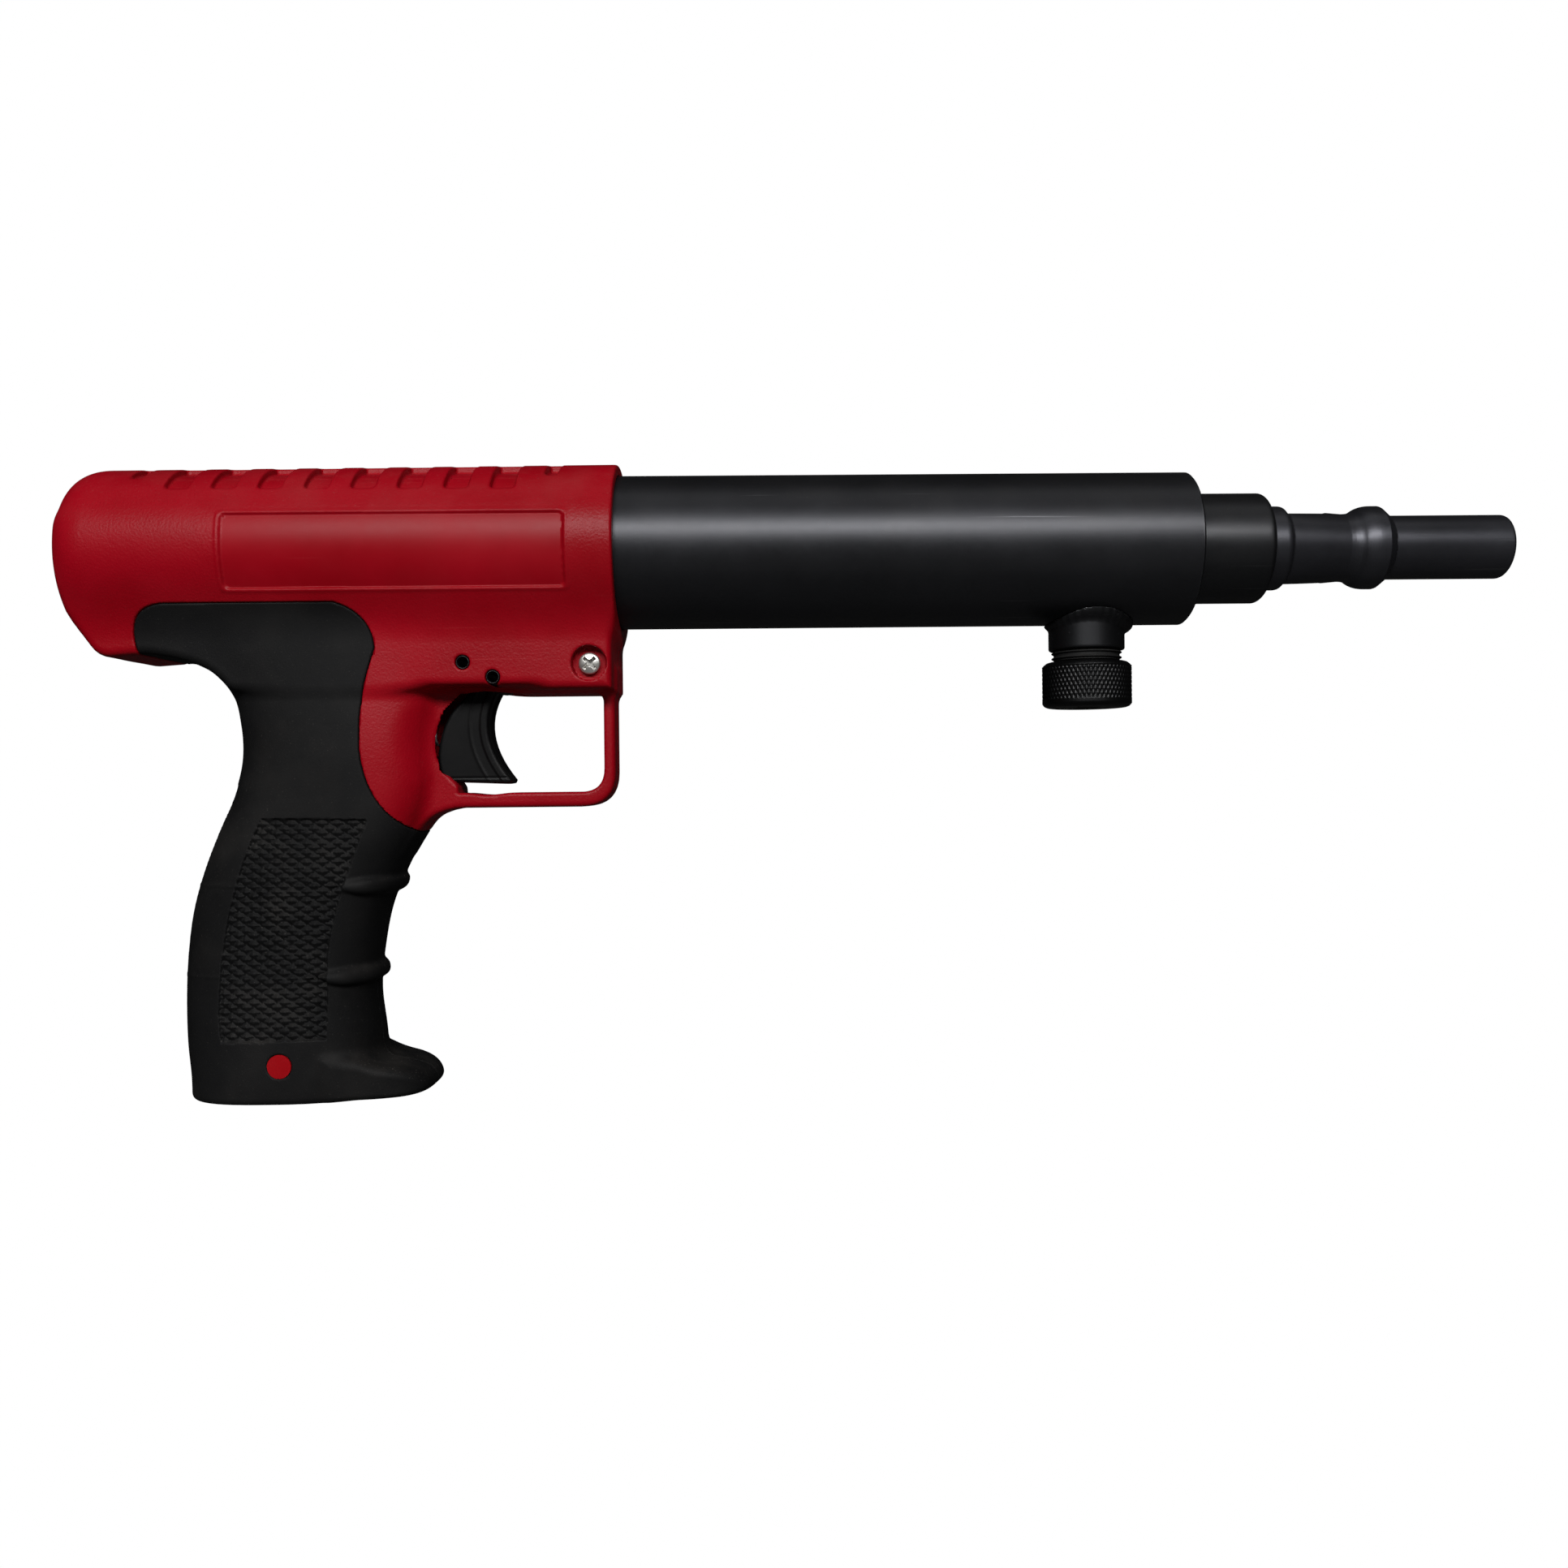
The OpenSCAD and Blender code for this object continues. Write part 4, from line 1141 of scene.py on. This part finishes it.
    def build(self) -> None:
        """Meshes both shells and both covers, and dresses them."""
        jobs = (
            ("housing", self.shell, self.box, "red_nylon", 0.56),
            ("grip_cover", self.cover, self.cover_box, "soft_cover", 0.44),
        )
        for name, shape, box, slot, pitch in jobs:
            low = tuple(v - 1.5 for v in box.low)
            high = (box.high[0] + 1.5, 0.8, box.high[2] + 1.5)
            points, quads, normals = Skin.mesh(shape, low, high, pitch)
            for side, turn in (("right", 1), ("left", -1)):
                flip = np.array([1, turn, 1])
                piece = put(f"{name}_{side}_shell", points * flip, quads[:, ::turn], normals * flip)
                self.paint.fit(piece, slot, "frame", f"{name}_{side}")
            LOG.info("%s: %d quads a side", name, len(quads))


# ---- Trigger ---------------------------------------------------------------------------------


@dataclass(frozen=True)
class TriggerSizes:
    """Sizes of the trigger in millimetres."""

    half: float = 4.45
    rim: float = 2.1
    step: float = 0.22
    line: float = 4.6
    parting: float = 1.7


class Trigger:
    """Moulded trigger with a raised front rim."""

    def __init__(self, paint: Paint) -> None:
        """Reads the trigger's box.

        Args:
            paint: where the materials come from.
        """
        self.paint = paint
        self.s = TriggerSizes()
        self.box = NodeBox.of("trigger")
        self.x, self.z = NodeBox.of("trigger_pin").centre
        low = self.box.low[2]
        tip = (self.box.high[0] - 0.85, low + 1.15)
        pull = (self.x - 7.0, (self.z - 2.6 + tip[1]) / 2 + 0.6)
        self.front = bend((self.x - 0.6, self.z - 2.6), pull, tip, 14)
        heel = (self.x - 15.4, low + 0.8)
        self.side = Outline(
            self.front
            + [(tip[0] - 0.4, low + 0.35), (tip[0] - 1.6, low + 0.15), heel]
            + bend(heel, (self.x - 17.4, self.z - 12), (self.x - 9.5, self.z - 4.6))
            + [(self.x - 4.2, self.z + 0.6), (self.x - 0.4, self.z + 0.6)],
            step=0.15, pad=3,
        )
        self.edge = Outline(self.front + [(self.x + 12, low), (self.x + 12, self.z)], step=0.15, pad=18)

    def field(self, x: Nums, y: Nums, z: Nums) -> Nums:
        """Field of the trigger.

        Args:
            x, y, z: where, in millimetres.

        Returns:
            Signed distances.
        """
        s = self.s
        boss = np.hypot(x - self.x, z - self.z) - 3.3
        depth = self.edge(x, z)
        inset = s.step * ramp(s.rim - 0.35, s.rim + 0.35, depth)
        inset = inset - 0.10 * np.exp(-(((depth - s.line) / 0.4) ** 2))
        inset = inset + 0.14 * np.exp(-(((z - self.box.low[2] - s.parting) / 0.25) ** 2))
        side = np.minimum(self.side(x, z), boss)
        cup = 0.5 * ramp(2.6, 0.6, np.abs(y)) * ramp(2.0, 0.0, depth) * ramp(-60.0, -54.0, z)
        d = meet(side + cup, np.abs(y) - s.half + inset, 1.1)
        return cut(d, np.hypot(x - self.x, z - self.z) - 1.77, 0.2)

    def build(self) -> None:
        """Meshes the trigger."""
        piece = put("trigger_blade", *Skin.mesh(self.field, *self.box.grown(MARGIN), 0.24))
        self.paint.fit(piece, "trigger_nylon", "trigger", "trigger")
        LOG.info("trigger built")


# ---- Steel parts -----------------------------------------------------------------------------


@dataclass(frozen=True)
class NoseSizes:
    """Sizes of the nozzle and the collar in millimetres."""

    tip_r: float = 8.0
    bore_r: float = 5.1
    bore_deep: float = 46.0
    flange_r: float = 10.4
    shoulder_r: float = 10.5
    flat_turn: float = 76.0
    flat_away: float = 8.62
    collar_r: float = 13.75
    collar_round: float = 1.6


class Nose:
    """Sliding nose: nozzle and collar."""

    def __init__(self, paint: Paint) -> None:
        """Reads the boxes.

        Args:
            paint: where the materials come from.
        """
        self.paint = paint
        self.s = NoseSizes()
        self.box = NodeBox.of("muzzle_nozzle")
        self.collar = NodeBox.of("barrel_collar")
        s, root, tail = self.s, self.collar.high[0], self.box.low[0]
        self.outline = Outline(
            [(0, -4), (0, s.tip_r - 1.0)]
            + bend((0, s.tip_r - 1.0), (0, s.tip_r), (-1.0, s.tip_r), 4)
            + [(-30.2, s.tip_r), (-30.5, s.flange_r - 1.7), (-32.6, s.flange_r), (-34.4, s.flange_r)]
            + bend((-34.4, s.flange_r), (-37.0, s.flange_r), (-38.6, s.tip_r + 1.1), 6)
            + bend((-38.6, s.tip_r + 1.1), (-39.4, s.tip_r + 0.45), (-41.5, s.tip_r + 0.45), 4)
            + [(root + 5.4, 9.75)]
            + bend((root + 5.2, 9.9), (root + 4.9, s.shoulder_r), (root + 3.8, s.shoulder_r), 4)
            + [(root + 0.05, s.shoulder_r), (root + 0.05, 8.3), (tail, 8.3), (tail, -4)],
            step=0.12, pad=4,
        )

    def nozzle(self, x: Nums, y: Nums, z: Nums) -> Nums:
        """Field of the nozzle.

        Args:
            x, y, z: where, in millimetres.

        Returns:
            Signed distances.
        """
        s = self.s
        radial = np.hypot(y, z)
        d = self.outline(x, radial)
        d = cut(d, np.maximum(radial - s.bore_r, -s.bore_deep - x), 0.5)
        d = np.maximum(d, 4.2 - radial + np.where(x > -s.bore_deep, -9.0, 0.0))
        turn = math.radians(s.flat_turn)
        lean = -y * math.cos(turn) + z * math.sin(turn)
        root = self.collar.high[0]
        for side in (1, -1):
            flat = np.maximum(s.flat_away - side * lean, np.maximum(x - root - 16.2, root + 5.0 - x))
            d = cut(d, flat, 0.25)
        return d

    def build(self) -> None:
        """Meshes the nozzle and turns the collar."""
        piece = put("nozzle_body", *Skin.mesh(self.nozzle, *self.box.grown(MARGIN), 0.36))
        self.paint.fit(piece, "blued_nose", "nose", "muzzle_nozzle")
        self._collar()
        LOG.info("nose built")

    def _collar(self) -> None:
        """Turns the collar, its front edge rounded."""
        s, x1, x0 = self.s, self.collar.high[0], self.collar.low[0]
        flange = self.collar.high[2]
        step = x0 + 4.3
        r, turns = s.collar_round, np.linspace(0, math.pi / 2, 9)
        rim = [(s.collar_r - r + r * math.sin(a), x1 - r + r * math.cos(a)) for a in turns]
        outline = [
            (10.5, x0), (flange - 0.4, x0), (flange, x0 + 0.4), (flange, step - 0.4), (flange - 0.4, step),
            (s.collar_r, step), (s.collar_r, step + 0.01), *rim[::-1],
            (10.9, x1), (10.5, x1 - 0.4), (10.5, x0),
        ]
        fine = []
        for (r0, a0), (r1, a1) in zip(outline, outline[1:]):
            fine += [(r0 + (r1 - r0) * t, a0 + (a1 - a0) * t) for t in (0.0, 0.02, 0.98)]
        points, quads = turned(fine + [outline[-1]], 160)
        piece = put("collar_body", points[:, (2, 0, 1)], quads[:, ::-1])
        self.paint.fit(piece, "blued_collar", "nose", "barrel_collar")


@dataclass(frozen=True)
class ReliefSizes:
    """Sizes of the relief port and knob in millimetres."""

    bead: float = 1.55
    bead_swing: float = 0.55
    ripples: int = 34
    neck_chamfer: float = 0.6
    knurl_turns: int = 62
    knurl_slope: float = 0.52
    knurl_deep: float = 0.24
    band: float = 0.9


class Relief:
    """Relief port welded under the tube, with its knurled knob."""

    def __init__(self, paint: Paint) -> None:
        """Reads the boxes.

        Args:
            paint: where the materials come from.
        """
        self.paint = paint
        self.s = ReliefSizes()
        self.knob = NodeBox.of("relief_knob")
        self.seal = NodeBox.of("knob_seal")
        self.port = NodeBox.of("port_boss")
        self.tube_r = NodeBox.of("silencer_tube").high[2]
        self.x = self.knob.centre[0]
        self.neck_r = self.seal.high[0] - self.x + 0.6

    def boss(self, x: Nums, y: Nums, z: Nums) -> Nums:
        """Field of the neck, its spigot and the weld bead.

        Args:
            x, y, z: where, in millimetres.

        Returns:
            Signed distances.
        """
        s = self.s
        away = np.hypot(x - self.x, y)
        tube = np.hypot(y, z) - self.tube_r
        neck = meet(away - self.neck_r, self.seal.high[2] - z, s.neck_chamfer)
        neck = np.maximum(neck, z + 8.0)
        angle = np.arctan2(y, x - self.x)
        size = s.bead + s.bead_swing * np.cos(angle) + 0.05 * np.cos(s.ripples * angle)
        bead = np.maximum(np.hypot(away - self.neck_r, tube) - size, z + 8.0)
        d = join(neck, bead, 1.0)
        ends = np.maximum(self.port.low[2] - z, z - self.seal.high[2] - 1)
        spigot = np.maximum(away - (self.neck_r - 2.4), ends)
        groove = np.maximum(np.abs(z - self.port.low[2] - 1.6) - 0.6, self.neck_r - 3.1 - away)
        spigot = np.maximum(spigot, -groove)
        d = np.minimum(d, spigot)
        d = np.maximum(d, 0.03 - tube)
        return np.maximum(d, 2.98 - away)

    def build(self) -> None:
        """Meshes the port, the ring groove and the knob."""
        low = (self.x - self.neck_r - 3.5, -self.neck_r - 3.5, self.port.low[2] - 0.6)
        high = (self.x + self.neck_r + 3.5, self.neck_r + 3.5, self.port.high[2] + 4.0)
        piece = put("port_weldment", *Skin.mesh(self.boss, low, high, 0.3))
        self.paint.fit(piece, "blued_steel", "frame", "port_boss")
        self._rings()
        self._knob()
        LOG.info("relief port built")

    def _rings(self) -> None:
        """Seal with two raised rings in the groove above the knob."""
        top, low = self.seal.high[2], self.seal.low[2]
        r = self.neck_r - 0.75
        outline = [(self.neck_r - 2.4, top)]
        for k in range(41):
            t = k / 40
            swell = 0.55 * max(0.0, math.sin(4 * math.pi * t - math.pi / 2)) ** 0.7
            outline.append((r - 0.5 + swell, top + (low - top) * t))
        outline.append((self.neck_r - 2.4, low))
        points, quads = turned(outline, 96)
        piece = put("seal_rings", points + np.array([self.x, 0, 0]), quads[:, ::-1])
        self.paint.fit(piece, "seal_rubber", "frame", "knob_seal")

    def _knob(self) -> None:
        """Turns the knob with its diamond knurl."""
        s, low, top = self.s, self.knob.low[2], self.knob.high[2]
        r = self.knob.high[0] - self.x - 0.02
        bore, well = 2.99, self.neck_r - 2.33
        ledge = self.port.low[2] - 0.3
        hollow = [(bore + 0.4, low), (bore, low + 0.4), (bore, ledge)]
        hollow += [(well, ledge), (well, top - 0.2), (well + 0.3, top)]
        crown = [(r - 1.5, top), (r - 1.1, top - 0.12), (r - 0.55, top - 0.55)]
        side = [(r - 0.06, top - 1.05 - (top - low - 2.1) * t) for t in np.linspace(0, 1, 96)]
        foot = [(r - 0.3, low + 0.65), (r - 0.7, low + 0.28), (r - 1.3, low + 0.05), (r - 1.6, low)]
        outline = [*hollow, *crown, *side, *foot, hollow[0]]
        start, stop = low + 1.05 + s.band, top - 1.3

        def knurl(angle: Nums, z: Nums) -> Nums:
            """Depth of the knurl.

            Args:
                angle, z: where.

            Returns:
                Change of radius.
            """
            turn = angle * s.knurl_turns / (2 * math.pi)
            rise = z * s.knurl_slope / (2 * math.pi * r / s.knurl_turns)
            tip = np.minimum(np.minimum(saw(turn + rise), saw(turn - rise)) * 1.35, 1.0)
            on = ramp(start - 0.15, start + 0.15, z) * ramp(stop + 0.15, stop - 0.15, z)
            return -s.knurl_deep * on * (1.0 - tip)

        sides = s.knurl_turns * 8
        inner = len(hollow) + len(crown)

        def only_side(angle: Nums, z: Nums) -> Nums:
            """Knurl on the outer wall only.

            Args:
                angle, z: where.

            Returns:
                Change of radius.
            """
            depth = knurl(angle, z)
            rows = np.arange(len(outline))[:, None]
            return np.where((rows >= inner) & (rows < inner + len(side)), depth, 0.0)

        points, quads = turned(outline, sides, only_side)
        piece = put("knob_body", points + np.array([self.x, 0, 0]), quads)
        self.paint.fit(piece, "knurled_steel", "relief_knob", "relief_knob")


class Fasteners:
    """Hollow spring pins and the two cross-recess screws."""

    def __init__(self, paint: Paint) -> None:
        """Keeps the paint.

        Args:
            paint: where the materials come from.
        """
        self.paint = paint

    def build(self) -> None:
        """Builds the pins and the screws."""
        for node in ("trigger_pin", "sear_pin"):
            self._pin(node)
        for node in ("front_screw", "grip_screw"):
            self._screw(node)
        LOG.info("fasteners built")

    def _pin(self, node: str) -> None:
        """Rolls one hollow spring pin with rounded ends.

        Args:
            node: the CAD pin.
        """
        box = NodeBox.of(node)
        cx, cz = box.centre
        r = (box.high[0] - box.low[0]) / 2 - 0.01
        wall, y1 = 0.42, box.high[1]
        end = [(r - wall, y1 - 0.5), (r - wall + 0.1, y1), (r - 0.15, y1), (r, y1 - 0.35)]
        ends = [(a, -b) for a, b in end] + end[::-1] + [(r - wall, -y1 + 0.5)]
        points, quads = turned(ends, 48)
        piece = put(f"{node}_roll", points[:, (0, 2, 1)] + np.array([cx, 0, cz]), quads)
        self.paint.fit(piece, "pin_steel", "frame", node)

    def _screw(self, node: str) -> None:
        """Meshes one screw with a domed head and a cross recess.

        Args:
            node: the CAD screw.
        """
        box = NodeBox.of(node)
        cx, cz = box.centre
        y0, y1, head = box.low[1], box.high[1], (box.high[0] - box.low[0]) / 2

        def field(x: Nums, y: Nums, z: Nums) -> Nums:
            """Field of the screw's head, with a little of its stem.

            Args:
                x, y, z: where, in millimetres.

            Returns:
                Signed distances.
            """
            away = np.hypot(x - cx, z - cz)
            dome = np.hypot(away, y - y0 - 6.2) - 6.2
            cap = np.maximum(dome, np.maximum(away - head, y - y0 - 1.8))
            stem = np.maximum(away - head + 1.25, np.maximum(y0 + 1 - y, y - y1))
            d = join(meet(cap, away - head, 0.4), stem, 0.2)
            p, q = (x - cx) * 0.7071, (z - cz) * 0.7071
            a, b = np.abs(p + q), np.abs(p - q)
            deep = y - y0 - 1.5
            run = 1.55 - deep * 0.3
            arms = np.minimum(np.maximum(a - 0.36, b - run), np.maximum(b - 0.36, a - run))
            arms = join(arms, away - 0.75, 0.3)
            d = cut(d, np.maximum(arms, deep), 0.12)
            return np.maximum(d, y - y0 - 3.4)

        low = (cx - head - 0.5, y0 - 0.5, cz - head - 0.5)
        high = (cx + head + 0.5, y0 + 4.0, cz + head + 0.5)
        piece = put(f"{node}_head", *Skin.mesh(field, low, high, 0.11))
        self.paint.fit(piece, "zinc_steel", "frame", node)
        outline = [(0.02, y0 + 3.3), (1.45, y0 + 3.3), (1.45, y1 - 0.4), (1.1, y1), (0.02, y1)]
        stem, faces = turned(outline, 40, lambda a, z: 0.04 * np.cos(a + z * 12.0))
        rest = put(f"{node}_stem", stem[:, (0, 2, 1)] + np.array([cx, 0, cz]), faces[:, ::-1])
        self.paint.fit(rest, "zinc_steel", "frame")


# ---- Studio ----------------------------------------------------------------------------------


@dataclass(frozen=True)
class StudioSizes:
    """Camera, lights and backdrop: metres, degrees and watts."""

    distance: float = 0.32
    aim_x: float = -0.1827
    aim_z: float = -0.0584
    yaw: float = 0.85
    roll: float = 0.6
    lens: float = 29.12
    key_watts: float = 8.9
    fill_watts: float = 0.3
    top_watts: float = 0.6
    room: float = 0.02


class Studio:
    """Pale floor and backdrop, soft lights and the camera."""

    def __init__(self) -> None:
        """Takes the sizes."""
        self.s = StudioSizes()

    def build(self) -> None:
        """Builds the backdrop, the lights and the camera."""
        self._backdrop()
        self._world()
        aim = Vector((self.s.aim_x, 0, 0))
        self._light("key", aim, (-0.02, -0.78, 0.41), (0.95, 0.20), self.s.key_watts)
        self._light("fill", aim, (0.10, -0.85, -0.35), (1.2, 0.5), self.s.fill_watts)
        self._light("top", aim, (0.0, -0.15, 0.75), (1.1, 0.30), self.s.top_watts)
        self._camera()
        scene = bpy.context.scene
        scene.view_settings.view_transform = "Standard"
        scene.view_settings.look = "None"
        LOG.info("studio built")

    def _light(self, name: str, aim: Vector, offset: tuple, size: tuple, watts: float) -> None:
        """Adds one rectangular soft light that faces the tool.

        Args:
            name: its name.
            aim: what it faces.
            offset: its place from there.
            size: width and height.
            watts: its power.
        """
        data = bpy.data.lights.new(name, "AREA")
        data.shape, data.size, data.size_y, data.energy = "RECTANGLE", size[0], size[1], watts
        made = bpy.data.objects.new(name, data)
        made.location = aim + Vector(offset)
        made.rotation_mode = "QUATERNION"
        made.rotation_quaternion = (-Vector(offset)).to_track_quat("-Z", "Y")
        bpy.context.scene.collection.objects.link(made)

    def _world(self) -> None:
        """Dim even surround."""
        world = bpy.data.worlds.new("studio")
        world.use_nodes = True
        sky = world.node_tree.nodes["Background"]
        sky.inputs[0].default_value = (1.0, 1.0, 1.0, 1.0)
        sky.inputs[1].default_value = self.s.room
        bpy.context.scene.world = world

    def _backdrop(self) -> None:
        """One swept sheet: floor, curve and wall, white to the camera."""
        turns = np.linspace(0, math.pi / 2, 12)
        curve = [(1.6 + 0.6 * math.sin(a), -0.02 - 0.6 * math.cos(a)) for a in turns]
        curve = [(-3.0, -0.62), *curve, (2.2, 3.2)]
        widths = np.linspace(-5.0, 5.0, 12)
        points = np.array([(x, y, z) for y, z in curve for x in widths]) / MM
        n = len(widths)
        starts = [i * n + k for i in range(len(curve) - 1) for k in range(n - 1)]
        quads = np.array([(a, a + 1, a + n + 1, a + n) for a in starts])
        sheet = put("backdrop", points, quads)
        material = bpy.data.materials.new("backdrop_paper")
        material.use_nodes = True
        tree = material.node_tree
        tree.nodes.clear()
        g = Graph(tree)
        noise = g.add("ShaderNodeTexNoise", {"Scale": 60.0, "Detail": 3.0})
        rough = g.span(noise.outputs[0], 0.3, 0.7, 0.8, 0.95)
        looks = {"Base Color": (0.16, 0.16, 0.16, 1.0), "Roughness": rough}
        paper = g.add("ShaderNodeBsdfPrincipled", looks)
        seen = g.add("ShaderNodeEmission", {"Color": (1.0, 1.0, 1.0, 1.0), "Strength": 1.0})
        path = g.add("ShaderNodeLightPath")
        sides = {0: path.outputs["Is Camera Ray"], 1: paper.outputs[0], 2: seen.outputs[0]}
        both = g.add("ShaderNodeMixShader", sides)
        out = g.add("ShaderNodeOutputMaterial")
        tree.links.new(both.outputs[0], out.inputs[0])
        sheet.data.materials.append(material)

    def _camera(self) -> None:
        """Camera beside the tool, slightly below its barrel."""
        s = self.s
        yaw, roll = math.radians(s.yaw), math.radians(s.roll)
        ahead = Vector((math.sin(yaw), math.cos(yaw), 0))
        side, up = Vector((math.cos(yaw), -math.sin(yaw), 0)), Vector((0, 0, 1))
        right = side * math.cos(roll) - up * math.sin(roll)
        above = up * math.cos(roll) + side * math.sin(roll)
        data = bpy.data.cameras.new("camera")
        data.lens, data.sensor_width, data.clip_start, data.clip_end = s.lens, 36.0, 0.01, 20.0
        made = bpy.data.objects.new("camera", data)
        place = Vector((s.aim_x, 0, s.aim_z)) - ahead * s.distance
        turn = Matrix((right, above, -ahead)).transposed().to_4x4()
        made.matrix_world = Matrix.Translation(place) @ turn
        bpy.context.scene.collection.objects.link(made)
        bpy.context.scene.camera = made


def dress_nodes(paint: Paint) -> None:
    """Gives the CAD nodes that stay their materials.

    Args:
        paint: where the materials come from.
    """
    for slot, nodes in SLOT_NODES.items():
        for node in nodes:
            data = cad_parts[node].data
            data.materials.clear()
            data.materials.append(paint.of(slot))


def main() -> None:
    """Builds the tool's looks and the studio."""
    logging.basicConfig(level=logging.INFO, format="%(name)s: %(message)s")
    paint = Paint()
    dress_nodes(paint)
    Housing(paint).build()
    Trigger(paint).build()
    Nose(paint).build()
    Relief(paint).build()
    Fasteners(paint).build()
    Studio().build()


if __name__ == "__main__":
    main()
